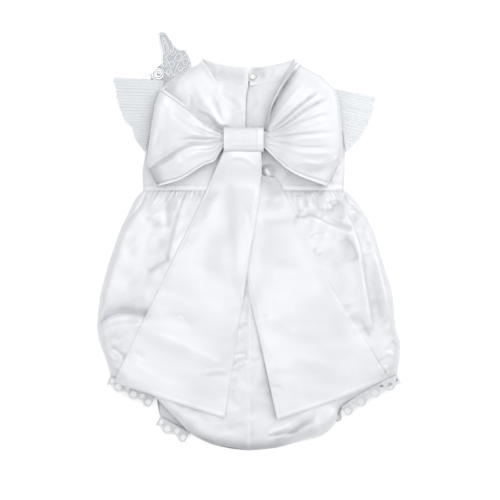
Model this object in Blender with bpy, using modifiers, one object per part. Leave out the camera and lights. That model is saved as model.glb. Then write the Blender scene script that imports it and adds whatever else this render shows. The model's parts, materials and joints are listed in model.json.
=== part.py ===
"""A satin baptism romper laid out on its front, back up: bodice, bubble bloomer, sash bow, tulle sleeves."""
from math import copysign, cos, hypot, pi, sin, sqrt

import bmesh
import bpy
from mathutils import Vector

# Sizes are in millimetres: X across, Y from the waist seam towards the collar, Z up off the surface
METRE = 0.001
WAIST_TO_MIDDLE = 55.6
SATIN = 1.2
TULLE = 1.0
LACE = 1.1
SEAM_GAP = 0.4

BODICE_RISE = 6.2
BODICE_EDGE = 2.9
BODICE_ROUNDING = 26.0
PLACKET_OVERLAP = 8.0
PLACKET_STEP = 1.7
PLACKET_STEP_START = 18.0
PLACKET_STEP_WIDTH = 8.0
NECK_FLAT = 12.0
BACK_PANEL_GRID = (11, 9)
FRONT_PANEL_GRID = (16, 8)

# Back bodice, from the waist up its side and armhole to the shoulder tip: across, above the waist
BODICE_SIDE_LEFT = ((-114.5, 0.6), (-115.5, 20), (-112, 40), (-108, 54), (-101.5, 76), (-96, 97), (-90, 112))
BODICE_SIDE_RIGHT = ((102.6, 0.6), (104, 20), (104, 40), (102, 54), (98, 76), (93, 97), (88, 112))
NECK_POINT = (50.6, 139.0)
NECK_STEPS = 6
NECK_GAP = 1.1
FRONT_NECK_DROP = 14.0
OPENING_LINE = ((-0.5, 112.3), (-3.2, 101), (-3.9, 68), (-4, 0.6))

# Bloomer silhouette from the waist down each side seam: across, above the waist
BLOOMER_SIDE_LEFT = (
    (-114.5, 0), (-123, -9), (-131, -26), (-139, -43), (-151, -78),
    (-160, -112), (-164, -147), (-161, -164), (-154, -184), (-149, -200),
)
BLOOMER_SIDE_RIGHT = (
    (103.7, 0), (114, -9), (126, -26), (134, -43), (145, -78),
    (155, -112), (158, -147), (163, -164), (163, -182), (160, -199),
)
# Back leg edge and crotch, from the side seam to the centre: across, above the waist
BACK_HEM_LEFT = (
    (-149, -200), (-125, -211), (-101.5, -224), (-83, -243.5), (-64, -263), (-41, -275), (-0.3, -282),
)
BACK_HEM_RIGHT = (
    (160, -199), (130, -213), (99, -234), (92, -254),
    (79, -265), (59, -271), (30, -279), (0.3, -282),
)
# Front leg edge and crotch, tucked in behind the back ones but for the left leg's inner end
FRONT_HEM_LEFT = (
    (-149, -200), (-118, -205), (-100, -226), (-96, -245),
    (-64, -263), (-41, -275), (-20, -280), (0, -282),
)
FRONT_HEM_RIGHT = (
    (160, -199), (126, -206), (95, -228), (86, -247),
    (76, -263), (59, -271), (30, -279), (0, -282),
)

# Height of the bloomer's back: below the waist, at its middle, at its side seam
BLOOMER_HEIGHTS = (
    (0, 6.6, 3.0), (12, 10, 4.5), (30, 16, 7), (60, 22, 10), (100, 26, 11),
    (150, 27, 11), (200, 24, 9), (240, 21, 7), (285, 18, 7),
)
SIDE_ROUNDING = 34.0
CROTCH_ROUNDING = 40.0
# Height of the back's lower edge and of the front's, across from side seam to side seam
BACK_HEM_HEIGHTS = (
    (-149, 9), (-135, 12.5), (-112, 12.5), (-100, 8), (-90, 7),
    (82, 7), (96, 8), (112, 12.5), (146, 12.5), (160, 9),
)
FRONT_HEM_HEIGHTS = (
    (-149, 6), (-137, 1), (-125, 0), (-108, 0), (-94, 2.6), (-66, 2.6),
    (-40, 4.4), (40, 4.4), (75, 1), (90, 0), (136, 0), (148, 1), (160, 6),
)
FRONT_ROUNDING = 14.0
EDGE_STEP = 1.9

GATHER_DEPTH = 0.9
GATHER_STEP = 1.1
GATHER_LENGTH = 30.0
BACK_COLUMNS = 26
BACK_ROWS = 18
FRONT_COLUMNS = 26
FRONT_ROWS = 14

# Largest folds of the bloomer's back: from, to, sideways bend, half width, height (troughs are negative)
FOLDS = (
    {"from": (-64, -2), "to": (-87, -84), "bend": 5, "width": 11, "height": 3.4},
    {"from": (-55, -30), "to": (-76, -92), "bend": 3, "width": 8, "height": -2.2},
    {"from": (-89, -12), "to": (-88, -46), "bend": 0, "width": 8, "height": -2.4},
    {"from": (-159, -146), "to": (-112, -133), "bend": 8, "width": 8, "height": -4.2},
    {"from": (-156, -160), "to": (-116, -148), "bend": 8, "width": 9, "height": 3.2},
    {"from": (70, -6), "to": (88, -28), "bend": -2, "width": 7, "height": -2.4},
    {"from": (50, -28), "to": (110, -46), "bend": -7, "width": 8, "height": 3.0},
    {"from": (98, -12), "to": (133, -160), "bend": -10, "width": 11, "height": 3.4},
    {"from": (92, -14), "to": (112, -60), "bend": -6, "width": 8, "height": -2.6},
    {"from": (134, -40), "to": (151, -130), "bend": -3, "width": 9, "height": 2.6},
    {"from": (22, -268), "to": (70, -244), "bend": 6, "width": 8, "height": -3.2},
    {"from": (0, -130), "to": (0, -276), "bend": 0, "width": 6, "height": -1.2},
)

# Collar: half its width and its height above the waist at the centre back and at its sides, base then top
COLLAR_BASE = {"half": 36.2, "middle": 112.8, "side": 118.8}
COLLAR_TOP = {"half": 51.0, "middle": 132.8, "side": 142.6}
COLLAR_MIDDLE = 3.5
COLLAR_HALF = 3.1
COLLAR_COLUMNS = 28
COLLAR_ROWS = 2
COLLAR_START = 0.02
BUTTON_RADIUS = 3.3
BUTTON_THICK = 2.6
BUTTON_PLACE = (4.3, 122.6)
LOOP_CORD = 0.55

# Sleeves: from the shoulder round to the underarm, root edge and outer edge
SLEEVE_ROOT_LEFT = ((-90.8, 112.8), (-96.9, 97), (-102.3, 76), (-108.8, 54), (-112.6, 42))
SLEEVE_EDGE_LEFT = ((-145.8, 121), (-141.5, 100), (-133, 75), (-127, 61), (-115.6, 44))
SLEEVE_ROOT_RIGHT = ((88.8, 112.6), (94, 97), (98.9, 76), (102.9, 54), (104.9, 42))
SLEEVE_EDGE_RIGHT = ((137, 103), (134, 85), (126, 66), (119, 55), (108.4, 44))
SLEEVE_PLEATS = 20
SLEEVE_ROWS = 3
PLEAT_DEPTH = 0.65
SLEEVE_FOLD = 0.03
SLEEVE_OVER = 4.9
SLEEVE_UNDER = 0.2

# Bow loops from the knot outwards: upper edge, outer fold from its lower end, lower edge
LOOP_LEFT = {
    "upper": ((-23.5, 59.5), (-28.5, 61), (-44.3, 70.5), (-69, 90.7), (-95, 110)),
    "fold": ((-98, 3.5), (-108.5, 24), (-109.6, 32), (-105.8, 65), (-101.5, 92), (-95, 110)),
    "lower": ((-23.5, 47.5), (-28.5, 45.5), (-36.7, 31), (-48.6, 26), (-64.8, 15.5), (-76, 9.5), (-98, 3.5)),
    "pleats": 5,
    "rows": 20,
}
LOOP_RIGHT = {
    "upper": ((12, 59.5), (17, 62), (24.5, 92), (33.5, 110), (41, 121), (52.5, 136)),
    "fold": ((84, 3.5), (92, 20), (99.5, 36), (100.8, 54), (98.3, 90), (92.9, 108), (76.7, 123), (52.5, 136)),
    "lower": ((12, 47.5), (17, 45.5), (24, 37.5), (32.4, 29.2), (41, 21.6), (55, 14), (84, 3.5)),
    "pleats": 8,
    "rows": 24,
}
LOOP_COLUMNS = 16
LOOP_BOTTOM = 7.2
LOOP_AT_KNOT = 14.0
LOOP_KNOT_HEIGHT = 9.5
LOOP_HEIGHT = 26.0
LOOP_FOLD_RISE = 4.0
LOOP_PLEAT_DEPTH = 1.3

KNOT_ENDS = (-27.0, 15.7)
KNOT_MIDDLE = (53.5, 18.6)
KNOT_HALF = (13.5, 10.2)
KNOT_GRID = (22, 4)

# Sash ends: edges from the knot to the hem, and the hem from its left corner
TAIL_LEFT = {
    "left": ((-26, 44), (-46.4, 0), (-62.6, -35.6), (-107, -127.4), (-145.8, -207.4)),
    "right": ((13, 44), (13.5, 15), (6.5, -37.8), (-2.2, -92), (-14, -167.4), (-26, -245)),
    "hem": ((-145.8, -207.4), (-107, -219), (-63.7, -233.3), (-26, -245)),
}
TAIL_RIGHT = {
    "left": ((-14, 44), (-10, 0), (-4, -92), (13, -167.4), (30.2, -246.2)),
    "right": ((12.4, 44), (13.8, 17), (30, 12), (43.2, -10.8), (74.5, -81), (103.7, -129.6), (147, -198)),
    "hem": ((30.2, -246.2), (71.3, -233.3), (113.4, -217.6), (147, -203), (147, -198)),
}
TAIL_COLUMNS = 8
TAIL_ROWS = 26
TAIL_LIFT = 2.2
TAIL_CROSS_LIFT = 1.9
TAIL_REACH = 4
WAIST_DIP = 12.0
CROSSING_START = 16.0
CROSSING_WIDTH = 12.0

LACE_DEPTH = 13.5
LACE_SCALLOP = 4.0
LACE_GAP = 1.3
LACE_CLOSE_GAP = 0.6
LACE_DROOP = 3.0
LACE_RIPPLE = 0.8
# Holes: radius and distance from the leg edge, between the scallops and in each scallop
LACE_HOLES = ((2.2, 4.7), (2.8, 7.5))

# Lace wing above the shoulder: across, above the waist
WING_OUTLINE = (
    (-63.2, 132), (-62.2, 138.5), (-66, 147), (-69, 152.6), (-77, 153.5), (-85.3, 164), (-90.7, 171.5),
    (-98, 171), (-96.6, 160), (-94.4, 148), (-95.5, 136), (-103, 131), (-107.5, 124), (-104, 116.4),
    (-97, 115), (-89.8, 113.6), (-76, 123.6),
)
ROSETTE_PLACE = (-98.5, 125.8)
ROSETTE_RADIUS = 7.2
ROSETTE_HEIGHT = 5.6
ROSETTE_BOTTOM = 1.8
ROSETTE_CORE = 1.3
ROSETTE_LEAN = 0.9
ROSETTE_TURNS = 2.1
ROSETTE_COLUMNS = 32
WING_BOTTOM = 0.4
LEAF_PLACE = (-110.4, 122.5)
LEAF_HALF = (4.6, 2.4)
LEAF_CORNERS = 12


def clamp(value, low, high):
    return max(low, min(high, value))


def smooth(value):
    """A soft step from 0 to 1."""
    value = clamp(value, 0, 1)
    return value * value * (3 - 2 * value)


def rounding(value):
    """A quarter circle from 0 to 1, upright at its start."""
    value = clamp(value, 0, 1)
    return sqrt(1 - (1 - value) ** 2)


def read_table(rows, place, column):
    """The value of one column of a table, whose first column rises, between its rows."""
    if place <= rows[0][0]:
        return rows[0][column]
    for low, high in zip(rows, rows[1:]):
        if place <= high[0]:
            share = (place - low[0]) / (high[0] - low[0])
            share = share * share * (3 - 2 * share) * 0.5 + share * 0.5
            return low[column] + (high[column] - low[column]) * share
    return rows[-1][column]


def path(points, share):
    """The point at this share of the length of a line through the points."""
    lengths = [hypot(b[0] - a[0], b[1] - a[1]) for a, b in zip(points, points[1:])]
    distance = clamp(share, 0, 1) * sum(lengths)
    for index, length in enumerate(lengths):
        if distance <= length or index == len(lengths) - 1:
            break
        distance -= length
    part = distance / length
    before = points[max(index - 1, 0)]
    start, end = points[index], points[index + 1]
    after = points[min(index + 2, len(points) - 1)]
    found = []
    for p, a, b, n in zip(before, start, end, after):
        bow = 2 * p - 5 * a + 4 * b - n
        twist = 3 * (a - b) + n - p
        curve = a + 0.5 * part * (b - p + part * (bow + part * twist))
        straight = a + (b - a) * part
        found.append((curve + straight) / 2)
    return found


def patch(across, up, bottom, top, inner, outer):
    """A point inside four edges: across runs from inner to outer, up from bottom to top."""
    b, t = path(bottom, across), path(top, across)
    i, o = path(inner, up), path(outer, up)
    corners = bottom[0], bottom[-1], top[0], top[-1]
    point = []
    for axis in (0, 1):
        edges = (1 - up) * b[axis] + up * t[axis] + (1 - across) * i[axis] + across * o[axis]
        low = (1 - across) * corners[0][axis] + across * corners[1][axis]
        high = (1 - across) * corners[2][axis] + across * corners[3][axis]
        point.append(edges - (1 - up) * low - up * high)
    return point


def distance_to(points, x, y):
    """Distance to the line through the points."""
    nearest = 1e9
    for a, b in zip(points, points[1:]):
        run_x, run_y = b[0] - a[0], b[1] - a[1]
        share = clamp(((x - a[0]) * run_x + (y - a[1]) * run_y) / (run_x ** 2 + run_y ** 2), 0, 1)
        nearest = min(nearest, hypot(a[0] + share * run_x - x, a[1] + share * run_y - y))
    return nearest


def across_at(points, y):
    """The across value of a line through the points at this distance above the waist."""
    for a, b in zip(points, points[1:]):
        if min(a[1], b[1]) <= y <= max(a[1], b[1]) and a[1] != b[1]:
            return a[0] + (b[0] - a[0]) * (y - a[1]) / (b[1] - a[1])
    nearest = min(points, key=lambda point: abs(point[1] - y))
    return nearest[0]


def bottom_at(x, left, right):
    """The above-waist value of a lower outline at this across value."""
    points = left if x < 0 else right
    reach = abs(x)
    for a, b in zip(points, points[1:]):
        if min(abs(a[0]), abs(b[0])) <= reach <= max(abs(a[0]), abs(b[0])) and a[0] != b[0]:
            return a[1] + (b[1] - a[1]) * (x - a[0]) / (b[0] - a[0])
    return points[0][1] if reach > 100 else points[-1][1]


def fold_relief(x, y):
    """How far the folds lift the bloomer's back here, none at its outline."""
    inside = smooth(side_distance(x, y) / 20)
    inside *= smooth((y - bottom_at(x, BACK_HEM_LEFT, BACK_HEM_RIGHT)) / 14)
    lift = 0
    for fold in FOLDS:
        (ax, ay), (bx, by) = fold["from"], fold["to"]
        length = hypot(bx - ax, by - ay)
        along = ((x - ax) * (bx - ax) + (y - ay) * (by - ay)) / length
        aside = ((x - ax) * (by - ay) - (y - ay) * (bx - ax)) / length
        share = along / length
        if not -0.1 < share < 1.1:
            continue
        aside -= fold["bend"] * 4 * share * (1 - share)
        ends = smooth((share + 0.1) / 0.3) * smooth((1.1 - share) / 0.3)
        lift += fold["height"] * ends * max(0, 1 - (aside / fold["width"]) ** 2) ** 2
    return lift * inside


def side_distance(x, y):
    """Distance in from the bloomer's side outline."""
    points = BLOOMER_SIDE_LEFT if x < 0 else BLOOMER_SIDE_RIGHT
    return abs(across_at(points, y)) - abs(x) if y > -200 else 60 + 0.6 * (150 - abs(x))


def dome(x, y):
    """Height of the bloomer's back without its folds, over any point on or beside it."""
    below = max(0, -y)
    crown = read_table(BLOOMER_HEIGHTS, below, 1)
    seam = read_table(BLOOMER_HEIGHTS, below, 2)
    side = rounding(max(0, side_distance(x, y)) / SIDE_ROUNDING)
    hem = read_table(BACK_HEM_HEIGHTS, x, 1)
    leg = smooth((hem - 7) / 5)
    from_hem = clamp((y - bottom_at(x, BACK_HEM_LEFT, BACK_HEM_RIGHT)) / CROTCH_ROUNDING, 0, 1)
    drop = (1 - leg) * rounding(from_hem) + leg * sin(pi / 2 * from_hem)
    body = seam + (crown - seam) * side
    return min(body, hem) + (body - min(body, hem)) * drop


def bodice_top(x, y, reach, shoulder):
    """Height of the back bodice: flat inside, down to the seams at its sides and shoulders."""
    side = rounding((reach - abs(x)) / BODICE_ROUNDING)
    top = rounding(shoulder / BODICE_ROUNDING)
    return BODICE_EDGE + (BODICE_RISE - BODICE_EDGE) * side * top


def collar_edge(edge, reach, front):
    """A point of the collar's base or top, reach running from 0 at the middle to 1 or -1 at its sides."""
    drop = FRONT_NECK_DROP * smooth(1 - abs(reach)) if front else 0
    return edge["half"] * reach, edge["middle"] + (edge["side"] - edge["middle"]) * reach ** 2 - drop


def neck_edge(start, sign, front):
    """A bodice panel's neck edge and shoulder, from the centre out, just below the collar's base."""
    points = []
    for step in range(NECK_STEPS):
        reach = start + (sign - start) * step / NECK_STEPS
        x, y = collar_edge(COLLAR_BASE, reach, front)
        points.append((x, y - NECK_GAP))
    shoulder = (BODICE_SIDE_LEFT if sign < 0 else BODICE_SIDE_RIGHT)[-1]
    corner = (sign * (COLLAR_BASE["half"] + 1.8), COLLAR_BASE["side"] - 1.2)
    return (*points, corner, (sign * NECK_POINT[0], NECK_POINT[1]), shoulder)


def make_material(name, colour, roughness):
    material = bpy.data.materials.new(name)
    material.use_nodes = True
    surface = material.node_tree.nodes["Principled BSDF"]
    surface.inputs["Base Color"].default_value = (*colour, 1)
    surface.inputs["Roughness"].default_value = roughness
    surface.inputs["Metallic"].default_value = 0.0
    return material


def make_object(name, mesh, material):
    part = bpy.data.objects.new(name, mesh)
    mesh.materials.append(material)
    romper.objects.link(part)
    part.parent = waist
    mesh.shade_smooth()
    return part


def add_grid(name, columns, rows, place, material, thickness, outside_up=True, closed=False):
    """An open sheet of columns by rows, whose points come from place(column, row), made solid inwards."""
    mesh = bpy.data.meshes.new(name)
    shape = bmesh.new()
    points = []
    for column in range(columns if closed else columns + 1):
        points.append([shape.verts.new(Vector(place(column, row)) * METRE) for row in range(rows + 1)])
    if closed:
        points.append(points[0])
    for left, right in zip(points, points[1:]):
        for row in range(rows):
            shape.faces.new((left[row], right[row], right[row + 1], left[row + 1]))
    if not outside_up:
        bmesh.ops.reverse_faces(shape, faces=shape.faces[:])
    shape.to_mesh(mesh)
    shape.free()
    part = make_object(name, mesh, material)
    solid = part.modifiers.new("Thickness", "SOLIDIFY")
    solid.thickness = thickness * METRE
    solid.offset = -1
    return part


def add_bodice_back(name, side, sign, inner):
    columns, rows = BACK_PANEL_GRID
    neck = neck_edge(inner[0][0] / COLLAR_BASE["half"], sign, False)
    bottom = (inner[-1], side[0])
    opening = (inner[-1], *inner[-2:0:-1], neck[0])

    def place(column, row):
        across = sin(column / columns * pi / 2) * 0.4 + column / columns * 0.6
        x, y = patch(across, row / rows, bottom, neck, opening, side)
        shoulder = distance_to(neck[-2:], x, y)
        from_neck = distance_to(neck[:-1], x, y)
        z = bodice_top(x, y, abs(across_at(side, y)), shoulder)
        z = max(z, BODICE_EDGE + (BODICE_RISE - BODICE_EDGE) * smooth(1 - from_neck / NECK_FLAT) * 0.9)
        if sign > 0:
            z -= PLACKET_STEP * smooth((PLACKET_STEP_START - (x - inner[0][0])) / PLACKET_STEP_WIDTH)
        return x, y, z

    return add_grid(name, columns, rows, place, satin(name), SATIN, outside_up=sign > 0)


def add_bodice_front():
    columns, rows = FRONT_PANEL_GRID

    def place(column, row):
        across = column / columns * 2 - 1
        side = BODICE_SIDE_LEFT if across < 0 else BODICE_SIDE_RIGHT
        neck = neck_edge(0, copysign(1, across), True)
        middle = ((0, side[0][1]), neck[0])
        x, y = patch(abs(across), row / rows, (middle[0], side[0]), neck, middle, side)
        return x, y, 0

    return add_grid("bodice_front", columns, rows, place, satin("bodice_front"), SATIN, outside_up=False)


def bloomer_point(side, hem, across, down):
    inner = ((hem[-1][0], 0), hem[-1])
    top = (inner[0], side[0])
    return patch(across, down, top, tuple(reversed(hem)), inner, side)


def add_bloomer_back(name, sign, side, hem):
    def place(column, row):
        across = 1 - (1 - column / BACK_COLUMNS) ** 1.25
        even = row / BACK_ROWS
        down = even * 0.6 + (1 - cos(even * pi)) / 2 * 0.4
        x, y = bloomer_point(side, hem, across, down)
        gather = GATHER_DEPTH * smooth(1 + y / GATHER_LENGTH) * smooth((1 - across) / 0.1)
        z = dome(x, y) + (gather if column % 2 else -gather)
        return x, y, z + fold_relief(x, y)

    return add_grid(name, BACK_COLUMNS, BACK_ROWS, place, satin(name), SATIN, outside_up=sign < 0)


def add_bloomer_front():
    columns, rows = FRONT_COLUMNS, FRONT_ROWS

    def place(column, row):
        even = column / columns * 2 - 1
        side, hem = (BLOOMER_SIDE_LEFT, FRONT_HEM_LEFT) if even < 0 else (BLOOMER_SIDE_RIGHT, FRONT_HEM_RIGHT)
        across = 1 - (1 - abs(even)) ** 1.35
        down = 1 - (1 - row / rows) ** 1.2
        x, y = bloomer_point(side, hem, across, down)
        gather = GATHER_STEP * smooth(1 + y / GATHER_LENGTH)
        seam = max(0, read_table(BLOOMER_HEIGHTS, max(0, -y), 2) - EDGE_STEP - gather)
        from_side = side_distance(x, y) if y > -199 else 60
        side_rise = seam * (1 - rounding(from_side / FRONT_ROUNDING))
        from_hem = y - bottom_at(x, FRONT_HEM_LEFT, FRONT_HEM_RIGHT)
        hem_rise = read_table(FRONT_HEM_HEIGHTS, x, 1) * (1 - rounding(from_hem / FRONT_ROUNDING))
        return x, y - SEAM_GAP * (row == 0), max(side_rise, hem_rise)

    return add_grid("bloomer_front", columns, rows, place, satin("bloomer_front"), SATIN, outside_up=True)


def add_collar():
    """One strip round the neck, flattened, with its two ends at the centre back."""
    def place(column, row):
        angle = pi / 2 + COLLAR_START + 2 * (pi - COLLAR_START) * column / COLLAR_COLUMNS
        front, up = sin(angle) < 0, row / COLLAR_ROWS
        base = collar_edge(COLLAR_BASE, cos(angle), front)
        top = collar_edge(COLLAR_TOP, cos(angle), front)
        x, y = (low + (high - low) * up for low, high in zip(base, top))
        return x, y, COLLAR_MIDDLE + COLLAR_HALF * copysign(abs(sin(angle)) ** 0.35, sin(angle))

    return add_grid("collar", COLLAR_COLUMNS, COLLAR_ROWS, place, satin("collar"), SATIN, outside_up=False)


def add_sleeve(name, sign, root, edge):
    """One pleated strip, over the top from the underarm to the shoulder, then plainer underneath."""
    over, under = SLEEVE_PLEATS * 2, SLEEVE_PLEATS

    def place(column, row):
        out = row / SLEEVE_ROWS
        pleat = PLEAT_DEPTH * (1 if column % 2 else -1) * smooth(out * 4 + 0.3)
        if column < over:
            round_arm = 1 - (1 - SLEEVE_FOLD) * column / (over - 1)
            z = SLEEVE_OVER - 1.0 * (1 - smooth(out * 3)) + pleat
        elif column == over:
            round_arm, z = 0, (SLEEVE_OVER + SLEEVE_UNDER) / 2
        else:
            round_arm = SLEEVE_FOLD + (1 - SLEEVE_FOLD) * (column - over - 1) / (under - 1)
            z = SLEEVE_UNDER + (PLEAT_DEPTH + pleat) * 0.6
        inner, outer = path(root, round_arm), path(edge, round_arm)
        return inner[0] + (outer[0] - inner[0]) * out, inner[1] + (outer[1] - inner[1]) * out, z

    return add_grid(name, over + under, SLEEVE_ROWS, place, tulle(name), TULLE, outside_up=sign < 0)


def add_loop(name, sign, loop):
    """A wide strip folded over at its outer end, both ends gathered into the knot."""
    knot_end = (loop["lower"][0], loop["upper"][0])

    def place(column, row):
        angle = pi * column / LOOP_COLUMNS
        out, up = (sin(angle) + sin(angle) ** 2) / 2, row / loop["rows"]
        x, y = patch(out, up, loop["lower"], loop["upper"], knot_end, loop["fold"])
        low = LOOP_AT_KNOT + (LOOP_BOTTOM - LOOP_AT_KNOT) * smooth(out / 0.3)
        low += LOOP_FOLD_RISE * smooth((out - 0.8) / 0.2)
        puff = LOOP_KNOT_HEIGHT + (LOOP_HEIGHT - LOOP_KNOT_HEIGHT) * smooth(out / 0.55)
        puff *= abs(cos(angle)) ** 0.6 * (0.8 + 0.2 * sin(pi * up))
        pleat = LOOP_PLEAT_DEPTH * cos(2 * pi * loop["pleats"] * up) * (1 - out) ** 0.6 * sin(pi * up) ** 0.5
        if column * 2 > LOOP_COLUMNS:
            return x, y, low + max(0, pleat) * 0.4
        return x, y, low + puff + pleat

    return add_grid(name, LOOP_COLUMNS, loop["rows"], place, satin(name), SATIN, outside_up=sign > 0)


def add_knot():
    """A band round the middle of the bow."""
    columns, rows = KNOT_GRID

    def place(column, row):
        angle = 2 * pi * column / columns
        share = row / rows
        x = KNOT_ENDS[0] + (KNOT_ENDS[1] - KNOT_ENDS[0]) * share
        size = 0.96 + 0.04 * sin(pi * share)
        y = KNOT_MIDDLE[0] + KNOT_HALF[0] * copysign(abs(cos(angle)) ** 0.8, cos(angle))
        return x, y, KNOT_MIDDLE[1] + KNOT_HALF[1] * size * copysign(abs(sin(angle)) ** 0.9, sin(angle))

    return add_grid("bow_knot", columns, rows, place, satin("bow_knot"), SATIN, outside_up=True, closed=True)


def tail_height(x, y, crossing):
    """Outer height of a sash end, bridging the dips of the bodice, the waist and the bloomer."""
    ground = BODICE_RISE
    for across, along in ((0, 0), (TAIL_REACH, 0), (-TAIL_REACH, 0), (0, TAIL_REACH), (0, -TAIL_REACH)):
        if y + along <= 0:
            here = dome(x + across, y + along) + max(0, fold_relief(x + across, y + along))
            ground = max(ground, here)
    near_waist = GATHER_DEPTH * smooth(1 - abs(y + WAIST_DIP) / (2 * WAIST_DIP))
    return ground + TAIL_LIFT + near_waist + TAIL_CROSS_LIFT * crossing


def add_tail(name, tail, on_top):
    top = (tail["left"][0], tail["right"][0])
    left, right = tail["left"][::-1], tail["right"][::-1]

    def place(column, row):
        x, y = patch(column / TAIL_COLUMNS, row / TAIL_ROWS, tail["hem"], top, left, right)
        under = across_at(TAIL_RIGHT["left"], y)
        crossing = smooth((x - under + CROSSING_START) / CROSSING_WIDTH) if on_top else 0
        return x, y, tail_height(x, y, crossing)

    return add_grid(name, TAIL_COLUMNS, TAIL_ROWS, place, satin(name), SATIN, outside_up=True)


def add_lace(name, hem, heights, rise, droop, repeats, gap=LACE_GAP):
    """A scalloped strip along a leg edge, pierced by a ring of points round each hole."""
    mesh = bpy.data.meshes.new(name)
    shape = bmesh.new()
    cells = repeats * 2
    side = 1 if hem[0][0] < 0 else -1

    def depth(place_along):
        return LACE_DEPTH - LACE_SCALLOP * (0.5 + 0.5 * cos(2 * pi * (place_along - 0.5) / 2))

    def point(along, out):
        x, y = path(hem, along / cells)
        before, after = path(hem, along / cells - 0.06), path(hem, along / cells + 0.06)
        length = hypot(after[0] - before[0], after[1] - before[1])
        x += side * (after[1] - before[1]) / length * (out + gap)
        y -= side * (after[0] - before[0]) / length * (out + gap)
        fall = droop * smooth(along / 2) * smooth((cells - along) / 2) * out / LACE_DEPTH
        ripple = LACE_RIPPLE * sin(pi * along) * out / LACE_DEPTH if droop else 0
        z = read_table(heights, path(hem, along / cells)[0], 1) + rise - fall + ripple
        return shape.verts.new(Vector((x, y, z)) * METRE)

    lines = []
    for cell in range(cells + 1):
        lines.append([point(cell, depth(cell) * share) for share in (0, 0.5, 1)])
    for cell in range(cells):
        radius, centre = LACE_HOLES[cell % 2]
        low, high = lines[cell], lines[cell + 1]
        middle = cell + 0.5
        top, bottom = point(middle, 0), point(middle, depth(middle))
        rim = [low[0], top, high[0], high[1], high[2], bottom, low[2], low[1]]
        width = sum(hypot(b[0] - a[0], b[1] - a[1]) for a, b in zip(hem, hem[1:])) / cells
        ring = []
        for corner in range(8):
            angle = pi * (corner - 3) / 4
            ring.append(point(middle + radius * cos(angle) / width, centre + radius * sin(angle)))
        for corner in range(8):
            after = (corner + 1) % 8
            shape.faces.new((rim[corner], rim[after], ring[after], ring[corner]))
    bmesh.ops.recalc_face_normals(shape, faces=shape.faces[:])
    if shape.faces[0].normal.z < 0:
        bmesh.ops.reverse_faces(shape, faces=shape.faces[:])
    shape.to_mesh(mesh)
    shape.free()
    part = make_object(name, mesh, lace(name))
    solid = part.modifiers.new("Thickness", "SOLIDIFY")
    solid.thickness = LACE * METRE
    solid.offset = -1
    return part


def add_flat(name, outline, bottom, thickness, material):
    """A flat piece cut to a smooth closed outline."""
    curve = bpy.data.curves.new(name, "CURVE")
    curve.dimensions = "2D"
    curve.fill_mode = "BOTH"
    curve.extrude = thickness / 2 * METRE
    spline = curve.splines.new("POLY")
    spline.points.add(len(outline) - 1)
    for point, (x, y) in zip(spline.points, outline):
        point.co = (x * METRE, y * METRE, 0, 1)
    spline.use_cyclic_u = True
    part = bpy.data.objects.new(name, curve)
    curve.materials.append(material)
    romper.objects.link(part)
    part.parent = waist
    part.location = (0, 0, (bottom + thickness / 2) * METRE)
    return part


def add_rosette():
    """A satin strip rolled up from its middle, leaning outwards."""
    def place(column, row):
        share = column / ROSETTE_COLUMNS
        angle = 2 * pi * ROSETTE_TURNS * share
        spread = ROSETTE_RADIUS - ROSETTE_CORE - ROSETTE_LEAN
        radius = ROSETTE_CORE + spread * share + ROSETTE_LEAN * row / 2
        x = ROSETTE_PLACE[0] + radius * cos(angle)
        y = ROSETTE_PLACE[1] + radius * sin(angle)
        height = ROSETTE_HEIGHT * (1 - 0.3 * share)
        return x, y, ROSETTE_BOTTOM + height * row / 2

    name = "applique_rosette"
    return add_grid(name, ROSETTE_COLUMNS, 2, place, satin(name), LACE, outside_up=True)


def leaf_outline():
    points = []
    for corner in range(LEAF_CORNERS):
        angle = 2 * pi * corner / LEAF_CORNERS
        points.append((LEAF_PLACE[0] + LEAF_HALF[0] * cos(angle), LEAF_PLACE[1] + LEAF_HALF[1] * sin(angle)))
    return points


def add_button():
    bpy.ops.mesh.primitive_cylinder_add(vertices=18, radius=BUTTON_RADIUS * METRE, depth=BUTTON_THICK * METRE)
    part = bpy.context.object
    part.name = part.data.name = "button"
    for holder in part.users_collection:
        holder.objects.unlink(part)
    romper.objects.link(part)
    part.parent = waist
    bottom = COLLAR_MIDDLE + COLLAR_HALF + 0.3
    part.location = Vector((*BUTTON_PLACE, bottom + BUTTON_THICK / 2)) * METRE
    part.data.materials.append(make_material("button_pearl", (0.86, 0.86, 0.85), 0.25))
    edge = part.modifiers.new("Round edge", "BEVEL")
    edge.width = 1.0 * METRE
    edge.segments = 2
    part.data.shade_smooth()
    return part


def add_button_loop():
    """A thread loop from the left collar end round the button."""
    radius = BUTTON_RADIUS + LOOP_CORD + 0.3
    centre_x, centre_y = BUTTON_PLACE
    points = [(centre_x - 5.4, centre_y + 1.4)]
    for step in range(13):
        angle = pi * (0.86 - 1.72 * step / 12)
        points.append((centre_x + radius * cos(angle), centre_y + radius * sin(angle)))
    points.append((centre_x - 5.4, centre_y - 1.4))
    curve = bpy.data.curves.new("button_loop", "CURVE")
    curve.dimensions = "3D"
    curve.bevel_depth = LOOP_CORD * METRE
    curve.bevel_resolution = 1
    curve.use_fill_caps = True
    spline = curve.splines.new("POLY")
    spline.points.add(len(points) - 1)
    height = COLLAR_MIDDLE + COLLAR_HALF + LOOP_CORD + 0.3
    for point, (x, y) in zip(spline.points, points):
        point.co = (x * METRE, y * METRE, height * METRE, 1)
    part = bpy.data.objects.new("button_loop", curve)
    curve.materials.append(make_material("button_loop_thread", (0.84, 0.86, 0.88), 0.6))
    romper.objects.link(part)
    part.parent = waist
    return part


def satin(name):
    return make_material(name + "_satin", (0.82, 0.85, 0.87), 0.36)


def tulle(name):
    return make_material(name + "_tulle", (0.80, 0.83, 0.86), 0.75)


def lace(name):
    return make_material(name + "_lace", (0.83, 0.85, 0.87), 0.7)


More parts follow.
